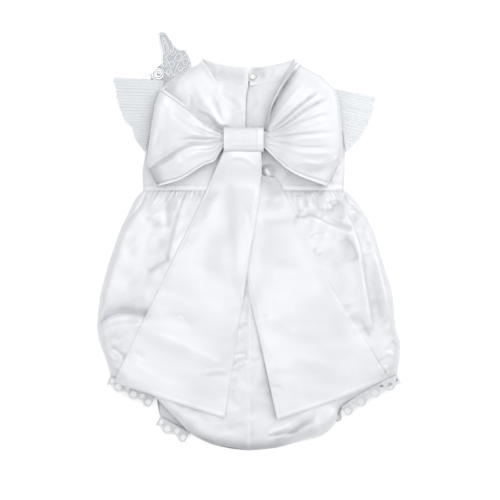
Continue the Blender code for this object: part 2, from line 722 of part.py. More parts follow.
def build():
    add_bodice_front()
    add_bodice_back("bodice_back_left", BODICE_SIDE_LEFT, -1, OPENING_LINE)
    under_line = tuple((x - PLACKET_OVERLAP, y) for x, y in OPENING_LINE)
    add_bodice_back("bodice_back_right", BODICE_SIDE_RIGHT, 1, under_line)
    add_collar()
    add_button()
    add_button_loop()
    add_sleeve("sleeve_left", -1, SLEEVE_ROOT_LEFT, SLEEVE_EDGE_LEFT)
    add_sleeve("sleeve_right", 1, SLEEVE_ROOT_RIGHT, SLEEVE_EDGE_RIGHT)
    add_bloomer_front()
    add_bloomer_back("bloomer_back_left", -1, BLOOMER_SIDE_LEFT, BACK_HEM_LEFT)
    add_bloomer_back("bloomer_back_right", 1, BLOOMER_SIDE_RIGHT, BACK_HEM_RIGHT)
    add_lace("leg_lace_back_left", BACK_HEM_LEFT[:3], BACK_HEM_HEIGHTS, 0, LACE_DROOP, 3, LACE_CLOSE_GAP)
    add_lace("leg_lace_back_right", BACK_HEM_RIGHT[:3], BACK_HEM_HEIGHTS, 0, LACE_DROOP, 4)
    add_lace("leg_lace_front_left", FRONT_HEM_LEFT[3:5], FRONT_HEM_HEIGHTS, SATIN, 0, 2)
    add_lace("leg_lace_front_right", FRONT_HEM_RIGHT[:4], FRONT_HEM_HEIGHTS, SATIN, 0, 5)
    add_loop("bow_loop_left", -1, LOOP_LEFT)
    add_loop("bow_loop_right", 1, LOOP_RIGHT)
    add_knot()
    add_tail("bow_tail_right", TAIL_RIGHT, False)
    add_tail("bow_tail_left", TAIL_LEFT, True)
    add_flat("applique_wing", WING_OUTLINE, WING_BOTTOM, LACE, lace("applique_wing"))
    add_rosette()
    add_flat("applique_leaf", leaf_outline(), ROSETTE_BOTTOM, LACE, lace("applique_leaf"))


for leftover in list(bpy.data.objects):
    bpy.data.objects.remove(leftover, do_unlink=True)
romper = bpy.data.collections.new("baptism_romper")
bpy.context.scene.collection.children.link(romper)
waist = bpy.data.objects.new("waist", None)
waist.location = (0, WAIST_TO_MIDDLE * METRE, 0)
romper.objects.link(waist)
build()
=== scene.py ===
import json
import math

import bmesh
import bpy
import numpy as np
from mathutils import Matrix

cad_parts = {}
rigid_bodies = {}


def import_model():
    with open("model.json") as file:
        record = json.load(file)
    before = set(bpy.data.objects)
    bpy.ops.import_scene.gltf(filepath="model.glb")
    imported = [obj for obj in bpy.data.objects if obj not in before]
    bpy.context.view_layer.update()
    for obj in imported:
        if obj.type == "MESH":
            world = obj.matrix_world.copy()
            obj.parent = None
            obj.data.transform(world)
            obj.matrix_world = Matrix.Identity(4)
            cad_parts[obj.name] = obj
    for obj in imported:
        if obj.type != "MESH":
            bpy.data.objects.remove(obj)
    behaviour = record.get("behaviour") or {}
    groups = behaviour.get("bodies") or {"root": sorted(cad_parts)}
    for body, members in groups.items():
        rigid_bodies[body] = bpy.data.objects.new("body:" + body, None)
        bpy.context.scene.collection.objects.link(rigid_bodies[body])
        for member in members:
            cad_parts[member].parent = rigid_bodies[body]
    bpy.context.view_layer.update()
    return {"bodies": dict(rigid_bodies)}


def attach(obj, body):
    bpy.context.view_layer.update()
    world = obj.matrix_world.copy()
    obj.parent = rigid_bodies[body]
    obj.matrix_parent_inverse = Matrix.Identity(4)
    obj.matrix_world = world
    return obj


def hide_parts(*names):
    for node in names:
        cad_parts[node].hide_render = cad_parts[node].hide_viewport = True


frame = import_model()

body = next(iter(frame["bodies"]))
mm = 0.001
waistUp = 55.6  # the waist seam lies this far above the part's middle

# All sizes below are in millimetres: x across, y up from the waist seam, z off the surface it lies on


def soft(value):
    value = np.clip(value, 0, 1)
    return value * value * (3 - 2 * value)


def quarter(value):  # a quarter circle, upright at its start
    value = np.clip(value, 0, 1)
    return np.sqrt(1 - (1 - value) ** 2)


def readTable(rows, place, column):  # smooth between the rows of a table
    rows = np.array(rows, float)
    at, values = rows[:, 0], rows[:, column]
    slopes = np.gradient(values, at)
    place = np.clip(place, at[0], at[-1])
    low = np.clip(np.searchsorted(at, place, side="right") - 1, 0, len(at) - 2)
    gap = at[low + 1] - at[low]
    t = (place - at[low]) / gap
    ends = values[low] * (1 + 2 * t) * (1 - t) ** 2 + values[low + 1] * t * t * (3 - 2 * t)
    return ends + gap * (slopes[low] * t * (1 - t) ** 2 - slopes[low + 1] * t * t * (1 - t))


def path(points, share, bend=0.5):  # the point at this share of a line's length
    points = np.array(points, float)
    share = np.asarray(share, float)
    lengths = np.hypot(*np.diff(points, axis=0).T)
    ends = np.concatenate([[0], np.cumsum(lengths)])
    distance = np.clip(share, 0, 1) * ends[-1]
    i = np.clip(np.searchsorted(ends, distance, side="right") - 1, 0, len(lengths) - 1)
    t = ((distance - ends[i]) / lengths[i])[..., None]
    before, a = points[np.maximum(i - 1, 0)], points[i]
    b, after = points[i + 1], points[np.minimum(i + 2, len(points) - 1)]
    turn = 2 * before - 5 * a + 4 * b - after + t * (3 * (a - b) + after - before)
    curve = 0.5 * t * (b - before + t * turn)
    return a + curve * bend + (b - a) * t * (1 - bend)


def patch(across, up, bottom, top, inner, outer):  # a point inside four edges
    across, up = np.broadcast_arrays(across, up)
    b, t, i, o = path(bottom, across), path(top, across), path(inner, up), path(outer, up)
    u, v = across[..., None], up[..., None]
    corners = [np.array(p, float) for p in (bottom[0], bottom[-1], top[0], top[-1])]
    low, high = (1 - u) * corners[0] + u * corners[1], (1 - u) * corners[2] + u * corners[3]
    point = (1 - v) * b + v * t + (1 - u) * i + u * o - (1 - v) * low - v * high
    return point[..., 0], point[..., 1]


def grid(rows, columns, start=0):
    return np.meshgrid(np.linspace(start, 1, rows), np.linspace(0, 1, columns), indexing="ij")


def nearLine(x, y, line):  # distance to a line, its sign (left of the run is positive) and the share along it
    lengths = np.hypot(*np.diff(line, axis=0).T)
    before = np.concatenate([[0], np.cumsum(lengths)])
    near, side, share = np.full(x.shape, 1e9), np.ones(x.shape), np.zeros(x.shape)
    for k, length in enumerate(lengths):
        (ax, ay), (bx, by) = line[k], line[k + 1]
        runX, runY = (bx - ax) / length, (by - ay) / length
        along = np.clip((x - ax) * runX + (y - ay) * runY, 0, length)
        dx, dy = x - ax - along * runX, y - ay - along * runY
        distance = np.hypot(dx, dy)
        closer = distance < near
        near = np.where(closer, distance, near)
        side = np.where(closer, runX * dy - runY * dx, side)
        share = np.where(closer, (before[k] + along) / before[-1], share)
    return near, side, share


def creases(x, y, rows):  # each row: line, height, width on its left, width on its right, fade in, fade out
    lift = np.zeros(x.shape)
    for points, height, left, right, fadeIn, fadeOut in rows:
        line = path(points, np.linspace(0, 1, 6 * len(points)), 1.0)
        pad = 2.6 * max(left, right)
        low, high = line.min(0) - pad, line.max(0) + pad
        inside = (x > low[0]) & (x < high[0]) & (y > low[1]) & (y < high[1])
        if not inside.any():
            continue
        near, side, share = nearLine(x[inside], y[inside], line)
        profile = np.exp(-(near / np.where(side > 0, left, right)) ** 1.7)
        lift[inside] += height * profile * soft(share / fadeIn) * soft((1 - share) / fadeOut)
    return lift


def ripple(x, y, seed, size, angle=0.0, stretch=1.0):  # soft unevenness, about 1 high
    random = np.random.default_rng(seed)
    c, s = math.cos(angle), math.sin(angle)
    along, aside = (x * c + y * s) / stretch, y * c - x * s
    total = np.zeros(np.shape(x))
    for _ in range(11):
        heading, phase = random.uniform(0, 2 * math.pi, 2)
        length = size * random.uniform(0.7, 1.7)
        total += np.sin(2 * math.pi * (along * math.cos(heading) + aside * math.sin(heading)) / length + phase)
    return total / 2.4


def acrossAt(points, y):  # how far across a side runs at this height
    line = path(points, np.linspace(0, 1, 160))
    order = np.argsort(line[:, 1])
    return np.interp(y, line[order, 1], line[order, 0])


def bottomAt(x, left, right):  # the lower outline under this place
    ends = []
    for hem in (left, right):
        line = path(hem, np.linspace(0, 1, 200))
        order = np.argsort(np.abs(line[:, 0]))
        ends.append(np.interp(np.abs(x), np.abs(line[order, 0]), line[order, 1]))
    return np.where(x < 0, *ends)


def blur(values, size):
    reach = np.arange(-int(3 * size), int(3 * size) + 1)
    kernel = np.exp(-(reach / size) ** 2 / 2)
    kernel /= kernel.sum()
    pad = len(reach) // 2
    for axis in (0, 1):
        padded = np.pad(values, [(pad, pad) if a == axis else (0, 0) for a in (0, 1)], mode="edge")
        values = np.apply_along_axis(lambda line: np.convolve(line, kernel, "valid"), axis, padded)
    return values


# painted shade: how far the relief lies below its blurred surroundings, used to darken the colour in creases
def paintedCreaseShade(relief):  # 0 on open cloth, 1 deep in a crease
    narrow, wide = blur(relief, 1.6) - relief, blur(relief, 5) - relief
    return np.clip(narrow / 1.8, 0, 1) * 0.45 + np.clip(wide / 3.0, 0, 1) * 0.55


# making the pieces


def buildSheet(name, x, y, z, finish, thick=0.5, facing="up", loop=False, shade=None):
    rows, columns = x.shape
    points = np.stack([x, y + waistUp, z], -1).reshape(-1, 3) * mm
    index = np.arange(rows * columns).reshape(rows, columns)
    if loop:
        index = np.vstack([index, index[:1]])
    quads = np.stack([index[:-1, :-1], index[1:, :-1], index[1:, 1:], index[:-1, 1:]], -1).reshape(-1, 4)
    a, b, c = points[quads[:, 0]], points[quads[:, 1]], points[quads[:, 2]]
    normals = np.cross(b - a, c - a)
    if facing == "out":
        outward = (normals * (a - points.mean(0))).sum()
    else:
        outward = normals[:, 2].sum() * (1 if facing == "up" else -1)
    if outward < 0:
        quads = quads[:, ::-1]
    mesh = bpy.data.meshes.new(name)
    mesh.from_pydata(points.tolist(), [], quads.tolist())
    # painted shade where the values are positive and painted light where they are negative, kept on the points for
    # the finish
    if shade is not None:
        paintedShading = mesh.attributes.new("paintedShading", "FLOAT", "POINT")
        paintedShading.data.foreach_set("value", shade.reshape(-1).astype(np.float32))
    return addPiece(name, mesh, finish, thick)


def addPiece(name, mesh, finish, thick=0.0):
    piece = bpy.data.objects.new(name, mesh)
    bpy.context.scene.collection.objects.link(piece)
    mesh.materials.append(finish)
    if thick:
        solid = piece.modifiers.new("clothThickness", "SOLIDIFY")
        solid.thickness = thick * mm
        solid.offset = -1
        bpy.context.view_layer.objects.active = piece
        bpy.ops.object.modifier_apply(modifier=solid.name)
    piece.data.shade_smooth()
    piece.data.set_sharp_from_angle(angle=math.radians(65))
    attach(piece, body)
    return piece


def addTubes(name, lines, radius, finish, sides=6):  # cords, stitches and threads as one mesh
    points, faces = [], []
    for line in lines:
        line = np.array(line, float)
        closed = np.allclose(line[0], line[-1])
        if closed:
            line = line[:-1]
        ahead = np.roll(line, -1, 0) - np.roll(line, 1, 0)
        if not closed:
            ahead[0], ahead[-1] = line[1] - line[0], line[-1] - line[-2]
        ahead /= np.maximum(np.linalg.norm(ahead, axis=1, keepdims=True), 1e-9)
        aside = np.cross(ahead, (0, 0, 1))
        aside /= np.maximum(np.linalg.norm(aside, axis=1, keepdims=True), 1e-9)
        over = np.cross(aside, ahead)
        first = len(points)
        width = np.full(len(line), float(radius))
        if not closed:
            width[0] = width[-1] = radius * 0.55  # the ends taper
        for turn in range(sides):
            angle = 2 * math.pi * turn / sides
            ring = line + (aside * math.cos(angle) + over * math.sin(angle)) * width[:, None]
            points.extend(ring + (0, waistUp, 0))
        count = len(line)
        for k in range(count if closed else count - 1):
            after = (k + 1) % count
            for turn in range(sides):
                low, high = first + turn * count, first + (turn + 1) % sides * count
                faces.append((low + k, high + k, high + after, low + after))
        if not closed:
            faces.append([first + turn * count for turn in range(sides)])
            faces.append([first + turn * count + count - 1 for turn in reversed(range(sides))])
    mesh = bpy.data.meshes.new(name)
    mesh.from_pydata((np.array(points) * mm).tolist(), [], faces)
    shape = bmesh.new()
    shape.from_mesh(mesh)
    bmesh.ops.recalc_face_normals(shape, faces=shape.faces[:])
    shape.to_mesh(mesh)
    shape.free()
    return addPiece(name, mesh, finish)


def dress(nodes):
    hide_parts(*nodes)


# finishes


def makeGroup(name, inputs, outputs):
    group = bpy.data.node_groups.new(name, "ShaderNodeTree")
    for label, value in inputs:
        socket = group.interface.new_socket(label, in_out="INPUT", socket_type="NodeSocketFloat")
        socket.default_value = value
    for label, kind in outputs:
        group.interface.new_socket(label, in_out="OUTPUT", socket_type=kind)
    return group, group.nodes.new("NodeGroupInput"), group.nodes.new("NodeGroupOutput")


def mathNode(tree, operation, first, second=None, clamp=False):
    node = tree.nodes.new("ShaderNodeMath")
    node.operation, node.use_clamp = operation, clamp
    for socket, value in zip(node.inputs, (first, second)):
        if isinstance(value, bpy.types.NodeSocket):
            tree.links.new(value, socket)
        elif value is not None:
            socket.default_value = value
    return node.outputs[0]


def satinWeave():  # floats of weft lying over fine warp, with a few thicker threads
    group, given, made = makeGroup(
        "satinWeave",
        (("Threads per mm", 7.0), ("Slub", 0.35)),
        (("Height", "NodeSocketFloat"), ("Slubs", "NodeSocketFloat")),
    )
    nodes, links = group.nodes, group.links
    place = nodes.new("ShaderNodeTexCoord")
    split = nodes.new("ShaderNodeSeparateXYZ")
    links.new(place.outputs["Object"], split.inputs[0])
    turns = mathNode(group, "MULTIPLY", given.outputs["Threads per mm"], 2 * math.pi / mm)
    weft = mathNode(group, "SINE", mathNode(group, "MULTIPLY", split.outputs["Y"], turns))
    step = mathNode(group, "ADD", split.outputs["X"], mathNode(group, "MULTIPLY", split.outputs["Y"], 0.4))
    warp = mathNode(group, "SINE", mathNode(group, "MULTIPLY", step, mathNode(group, "MULTIPLY", turns, 0.31)))
    slubs = nodes.new("ShaderNodeTexNoise")
    stretch = nodes.new("ShaderNodeMapping")
    stretch.inputs["Scale"].default_value = (260, 900, 260)
    links.new(place.outputs["Object"], stretch.inputs[0])
    links.new(stretch.outputs[0], slubs.inputs["Vector"])
    slubs.inputs["Scale"].default_value = 1.0
    slubs.inputs["Detail"].default_value = 3.0
    thick = mathNode(group, "MULTIPLY", slubs.outputs["Fac"], given.outputs["Slub"])
    weft, warp = mathNode(group, "MULTIPLY", weft, 0.5), mathNode(group, "MULTIPLY", warp, 0.25)
    threads = mathNode(group, "ADD", weft, warp)
    links.new(mathNode(group, "ADD", threads, thick), made.inputs["Height"])
    links.new(slubs.outputs["Fac"], made.inputs["Slubs"])
    return group


def mottleAndPaintedShading():  # cloud-like unevenness of tone, and painted shade gathered in the hollows
    group, given, made = makeGroup(
        "mottleAndPaintedShading",
        (("Size", 30.0), ("Strength", 0.05), ("Hollow strength", 0.5)),
        (("Tone and painted shading", "NodeSocketFloat"), ("Cloud", "NodeSocketFloat")),
    )
    nodes, links = group.nodes, group.links
    place = nodes.new("ShaderNodeTexCoord")
    cloud = nodes.new("ShaderNodeTexNoise")
    links.new(place.outputs["Object"], cloud.inputs["Vector"])
    links.new(mathNode(group, "DIVIDE", 1 / mm, given.outputs["Size"]), cloud.inputs["Scale"])
    cloud.inputs["Detail"].default_value = 4.0
    # painted shade: the stored values darken the colour, and lighten it where they are negative
    paintedShading = nodes.new("ShaderNodeAttribute")
    paintedShading.attribute_name = "paintedShading"
    uneven = mathNode(group, "SUBTRACT", cloud.outputs["Fac"], 0.5)
    uneven = mathNode(group, "MULTIPLY", uneven, given.outputs["Strength"])
    dark = mathNode(group, "MULTIPLY", paintedShading.outputs["Fac"], given.outputs["Hollow strength"])
    toneAndPaintedShading = mathNode(group, "ADD", 0.85, uneven)
    links.new(mathNode(group, "SUBTRACT", toneAndPaintedShading, dark, clamp=True), made.inputs["Tone and painted shading"])
    links.new(cloud.outputs["Fac"], made.inputs["Cloud"])
    return group


def netMesh():  # staggered net cells: 1 on a thread, 0 in a hole
    group, given, made = makeGroup(
        "netMesh", (("Cell", 1.2), ("Thread", 0.16)), (("Thread mask", "NodeSocketFloat"),)
    )
    nodes, links = group.nodes, group.links
    place = nodes.new("ShaderNodeTexCoord")
    cells = nodes.new("ShaderNodeTexBrick")
    links.new(place.outputs["Object"], cells.inputs["Vector"])
    links.new(mathNode(group, "DIVIDE", 1 / mm, given.outputs["Cell"]), cells.inputs["Scale"])
    mortar = mathNode(group, "DIVIDE", given.outputs["Thread"], given.outputs["Cell"])
    links.new(mortar, cells.inputs["Mortar Size"])
    cells.inputs["Mortar Smooth"].default_value = 0.3
    cells.inputs["Brick Width"].default_value = 1.0
    cells.inputs["Row Height"].default_value = 0.62
    links.new(cells.outputs["Fac"], made.inputs["Thread mask"])
    return group


def threadTwist():  # slanting plies of a sewing or lace thread
    group, given, made = makeGroup("threadTwist", (("Ply", 0.5),), (("Height", "NodeSocketFloat"),))
    nodes, links = group.nodes, group.links
    place = nodes.new("ShaderNodeTexCoord")
    plies = nodes.new("ShaderNodeTexWave")
    plies.bands_direction = "DIAGONAL"
    links.new(place.outputs["Object"], plies.inputs["Vector"])
    links.new(mathNode(group, "DIVIDE", 0.35 / mm, given.outputs["Ply"]), plies.inputs["Scale"])
    plies.inputs["Distortion"].default_value = 1.5
    links.new(plies.outputs["Fac"], made.inputs["Height"])
    return group


groups = {make.__name__: make() for make in (satinWeave, mottleAndPaintedShading, netMesh, threadTwist)}


def placeGroup(tree, name, **values):
    node = tree.nodes.new("ShaderNodeGroup")
    node.node_tree = groups[name]
    for label, value in values.items():
        node.inputs[label.replace("_", " ")].default_value = value
    return node


def makeFinish(name, look):
    finish = bpy.data.materials.new(name)
    finish.use_nodes = True
    tree = finish.node_tree
    surface = tree.nodes["Principled BSDF"]
    surface.inputs["Sheen Weight"].default_value = look.get("sheen", 0)
    surface.inputs["Sheen Roughness"].default_value = 0.4
    surface.inputs["Specular IOR Level"].default_value = look.get("specular", 0.5)
    surface.inputs["Coat Weight"].default_value = look.get("coat", 0)
    surface.inputs["Metallic"].default_value = look.get("metal", 0)
    surface.inputs["Subsurface Weight"].default_value = look.get("glow", 0)
    surface.inputs["Subsurface Scale"].default_value = 0.004
    surface.inputs["Emission Color"].default_value = (1, 1, 1, 1)
    surface.inputs["Emission Strength"].default_value = look.get("lit", 0)
    # the colour runs from the shade colour to the light colour by the random tone together with the painted shade
    # and light on the points
    mottleAndShading = placeGroup(
        tree, "mottleAndPaintedShading", Size=look["cloud"], Strength=look["uneven"], Hollow_strength=look["paintedShading"])
    colour = tree.nodes.new("ShaderNodeMix")
    colour.data_type = "RGBA"
    colour.inputs[6].default_value = (*look["shade"], 1)
    colour.inputs[7].default_value = (*look["light"], 1)
    toneAndPaintedShading = mottleAndShading.outputs["Tone and painted shading"]
    tree.links.new(colour.outputs[2], surface.inputs["Base Color"])
    rough = tree.nodes.new("ShaderNodeMapRange")
    rough.inputs["To Min"].default_value = look["rough"] - 0.05
    rough.inputs["To Max"].default_value = look["rough"] + 0.05
    tree.links.new(mottleAndShading.outputs["Cloud"], rough.inputs["Value"])
    tree.links.new(rough.outputs[0], surface.inputs["Roughness"])
    relief = tree.nodes.new("ShaderNodeBump")
    relief.inputs["Strength"].default_value = look["relief"]
    relief.inputs["Distance"].default_value = 0.1 * mm
    if look["kind"] == "satin":
        weave = placeGroup(tree, "satinWeave", Threads_per_mm=look["threads"], Slub=look["slub"])
        tree.links.new(weave.outputs["Height"], relief.inputs["Height"])
        slubs = mathNode(tree, "MULTIPLY", mathNode(tree, "SUBTRACT", weave.outputs["Slubs"], 0.5), look["slub"])
        toneAndPaintedShading = mathNode(tree, "ADD", toneAndPaintedShading, slubs, clamp=True)
    elif look["kind"] == "net":
        net = placeGroup(tree, "netMesh", Cell=look["cell"], Thread=look["thread"])
        tree.links.new(net.outputs["Thread mask"], relief.inputs["Height"])
        alpha = tree.nodes.new("ShaderNodeMapRange")
        alpha.inputs["To Min"].default_value = look["haze"]
        tree.links.new(net.outputs["Thread mask"], alpha.inputs["Value"])
        tree.links.new(alpha.outputs[0], surface.inputs["Alpha"])
    elif look["kind"] == "thread":
        twist = placeGroup(tree, "threadTwist", Ply=look["ply"])
        tree.links.new(twist.outputs["Height"], relief.inputs["Height"])
    else:
        tree.links.new(mottleAndShading.outputs["Cloud"], relief.inputs["Height"])
    tree.links.new(toneAndPaintedShading, colour.inputs[0])
    tree.links.new(relief.outputs[0], surface.inputs["Normal"])
    return finish


# each look also sets the strength of the painted shade and light carried on the points
satinLook = {"kind": "satin", "rough": 0.41, "threads": 6.0, "slub": 0.11, "relief": 0.1, "specular": 0.8,
             "metal": 0.09, "paintedShading": 0.62}
bowLook = {**satinLook, "shade": (0.33, 0.35, 0.37), "cloud": 50, "uneven": 0.16}
looks = {
    "satin": {**satinLook, "shade": (0.32, 0.34, 0.36), "light": (0.738, 0.747, 0.776),
              "cloud": 38, "uneven": 0.26},
    "bowSatin": {**bowLook, "light": (0.746, 0.755, 0.780)},
    # a much brighter copy of the bow satin: painted light that offsets the shade on the rosette's steep petals
    "roseSatinPaintedLight": {**bowLook, "light": (0.93, 0.935, 0.94)},
    "tulle": {"kind": "net", "shade": (0.50, 0.53, 0.57), "light": (0.82, 0.84, 0.86), "rough": 0.8, "cell": 1.1,
              "thread": 0.2, "haze": 0.72, "relief": 0.2, "sheen": 0.1, "specular": 0.3, "cloud": 18,
              "uneven": 0.12, "paintedShading": 0.5},
    "laceNet": {"kind": "net", "shade": (0.34, 0.36, 0.39), "light": (0.54, 0.56, 0.59), "rough": 0.85, "cell": 1.4,
                "thread": 0.34, "haze": 0.6, "relief": 0.6, "sheen": 0.1, "specular": 0.25, "cloud": 7,
                "uneven": 0.5, "paintedShading": 0.5},
    # the lace cloth is much darker than its cords: painted shade for lace lying in shadow
    "laceCloth": {"kind": "thread", "shade": (0.36, 0.38, 0.40), "light": (0.62, 0.64, 0.66), "rough": 0.75,
                  "ply": 0.7, "relief": 0.6, "sheen": 0.1, "specular": 0.3, "cloud": 7, "uneven": 0.4,
                  "paintedShading": 0.5},
    "laceCord": {"kind": "thread", "shade": (0.60, 0.62, 0.64), "light": (0.90, 0.91, 0.92), "rough": 0.6,
                 "ply": 0.5, "relief": 0.6, "sheen": 0.1, "specular": 0.4, "cloud": 12, "uneven": 0.3,
                 "paintedShading": 0.0},
    "sewing": {"kind": "thread", "shade": (0.55, 0.57, 0.59), "light": (0.80, 0.82, 0.84), "rough": 0.5,
               "ply": 0.35, "relief": 0.5, "cloud": 20, "uneven": 0.05, "paintedShading": 0.0},
    "pearl": {"kind": "plain", "shade": (0.50, 0.51, 0.51), "light": (0.76, 0.76, 0.75), "rough": 0.2,
              "relief": 0.05, "specular": 0.6, "coat": 0.5, "cloud": 5, "uneven": 0.3, "paintedShading": 0.0},
    "floor": {"kind": "plain", "shade": (0.80, 0.80, 0.80), "light": (0.84, 0.84, 0.84), "rough": 0.9,
              "relief": 0.02, "specular": 0.1, "lit": 0.27, "cloud": 400, "uneven": 0.1, "paintedShading": 0.0},
}
finishes = {name: makeFinish(name, look) for name, look in looks.items()}
print("finishes made")

# where the garment's own pieces lie

bodice = {
    "rise": 6.2, "edge": 2.9, "rounding": 13.0, "overlap": 8.0, "step": 1.7, "stepWidth": 14, "neckGap": -0.5,
    "frontDrop": 14.0, "frontRise": 1.7, "frontRounding": 7, "crease": 1.25, "groove": 0.9, "grooveWidth": 1.3,
    "band": 0.45, "bandWidth": 5.2, "pucker": 0.22, "puckerLength": 9, "lap": 1.1,
    "neckSeam": 0.35, "neckSeamWidth": 3.4, "facing": 13,
    "sideLeft": ((-114.5, 0.6), (-115.5, 20), (-112, 40), (-108, 54), (-101.5, 76), (-96, 97), (-90, 112)),
    "sideRight": ((102.6, 0.6), (104, 20), (104, 40), (102, 54), (98, 76), (93, 97), (88, 112)),
    "neckPoint": (50.6, 139.0),
    "opening": ((-0.5, 112.3), (-3.2, 101), (-3.9, 68), (-4, 0.6)),
    "creases": (  # line, height, width on its left, width on its right, fade in, fade out
        (((-63.7, 103.7), (-63.4, 97.2), (-63.2, 89.6)), -0.5, 1.6, 1.6, 0.3, 0.3),
        (((-29.2, 69.1), (-36.7, 81), (-46.4, 92.9)), 0.9, 2.4, 1.8, 0.1, 0.4),
        (((-28.1, 75.6), (-32.4, 92.9), (-40, 105.8)), 0.8, 2.4, 2.0, 0.1, 0.4),
        (((-31.3, 110.2), (-18.4, 102.6), (-5.4, 91.8)), 0.5, 1.6, 2.6, 0.3, 0.2),
        (((-34.6, 105.8), (-20.5, 97.2), (-7.6, 85.3)), -0.3, 2.6, 2.6, 0.3, 0.2),
        (((-22.7, 77.8), (-14, 84.2), (-4.3, 87.5)), 0.5, 1.8, 1.8, 0.3, 0.2),
        (((-57.2, 88.6), (-43.2, 83.2), (-31.3, 70.2)), 0.7, 1.6, 2.6, 0.2, 0.2),
        (((3.2, 105.8), (14, 108), (31.3, 112.3)), 0.4, 2.0, 3.0, 0.2, 0.3),
        (((1.1, 77.8), (7.6, 88.6), (14, 101.5)), 0.4, 2.0, 2.5, 0.2, 0.3),
        (((90.7, 43.2), (96.1, 30.2), (94, 15.1)), 0.6, 2.0, 2.6, 0.2, 0.2),
        (((98.3, 25.9), (90.7, 15.1), (92.9, 4.3)), 0.7, 1.6, 2.0, 0.2, 0.2),
        (((-106.9, 21.6), (-100.4, 13), (-102.6, 4.3)), 0.4, 2.4, 2.0, 0.2, 0.2),
        (((-24.8, 66), (-27, 90), (-36.7, 116)), 1.0, 6, 5, 0.1, 0.3),
        (((-27, 66), (-43.2, 86), (-57.2, 113)), 1.1, 6, 6, 0.1, 0.3),
        (((15, 26), (20, 19), (25, 13)), 4.0, 5, 4, 0.3, 0.3),
    ),
    "paintedLightAndShade": (  # painted light and shade, in rows like the creases: darker where positive, paler where negative; here it lightens the shade near the knot, along the waist band and at the sides
        (((-28, 68), (-48, 86), (-66, 102)), -0.45, 10, 12, 0.02, 0.1),
        (((-30, 104), (-50, 112), (-78, 118)), -0.35, 18, 16, 0.05, 0.05),
        (((-112, 2.4), (-60, 2.4), (-30, 2.4)), -0.3, 2.4, 2.4, 0.02, 0.02),
        (((30, 2.4), (60, 2.4), (102, 2.4)), -0.3, 2.4, 2.4, 0.02, 0.02),
        (((14, 36), (24, 26), (40, 15)), -0.6, 6, 6, 0.1, 0.1),
        (((104, 36), (100, 22), (96, 8)), -0.3, 9, 9, 0.1, 0.1),
        (((-112, 34), (-110, 18), (-108, 6)), -0.2, 5, 8, 0.1, 0.1),
    ),
}

collar = {
    "baseHalf": 36.2, "baseMiddle": 112.8, "baseSide": 118.8, "topHalf": 51.0, "topMiddle": 132.8, "topSide": 142.6,
    "middle": 3.5, "half": 3.1, "square": 0.16, "opening": 0.02, "topBand": 0.35, "topRise": 1.1,
    "creases": (
        (((8, 133), (12, 126), (17, 120)), -0.8, 5, 5.5, 0.2, 0.3),
        (((-41, 137), (-38, 128), (-34, 121)), -0.7, 4, 5, 0.2, 0.3),
        (((-27, 135), (-25, 127), (-26, 119)), 0.4, 4, 4, 0.2, 0.3),
        (((27, 136), (28, 127), (31, 120)), 0.5, 4, 4, 0.2, 0.3),
    ),
    # painted shade on the collar's left and middle stretches, painted light along its top edge and right end
    "paintedLightAndShade": (
        (((2, 128), (11, 127), (20, 125)), 0.55, 6, 6, 0.02, 0.3),
        (((-46, 140), (-41, 130), (-36, 121)), 0.30, 5, 5, 0.02, 0.1),
        (((-34, 128), (-18, 124), (-3, 122)), 0.42, 8, 8, 0.1, 0.1),
        (((30, 132), (38, 128), (46, 134)), -0.2, 8, 8, 0.1, 0.1),
        (((-46, 141), (-24, 135), (0, 132.5)), -0.2, 2.4, 2.4, 0.05, 0.05),
    ),
}


def collarEdge(part, reach, front):
    drop = bodice["frontDrop"] * soft(1 - np.abs(reach)) * front
    x = collar[part + "Half"] * reach
    return x, collar[part + "Middle"] + (collar[part + "Side"] - collar[part + "Middle"]) * reach ** 2 - drop


def neckEdge(start, sign, front):
    points = []
    for reach in np.linspace(start, sign, 7)[:-1]:
        x, y = collarEdge("base", reach, front)
        points.append((x, y - bodice["neckGap"]))
    shoulder = bodice["sideLeft" if sign < 0 else "sideRight"][-1]
    corner = (sign * (collar["baseHalf"] - 0.4), collar["baseSide"] + 0.4)
    return (*points, corner, (sign * bodice["neckPoint"][0], bodice["neckPoint"][1]), shoulder)


def distanceTo(points, x, y):
    return nearLine(x, y, np.array(points, float))[0]


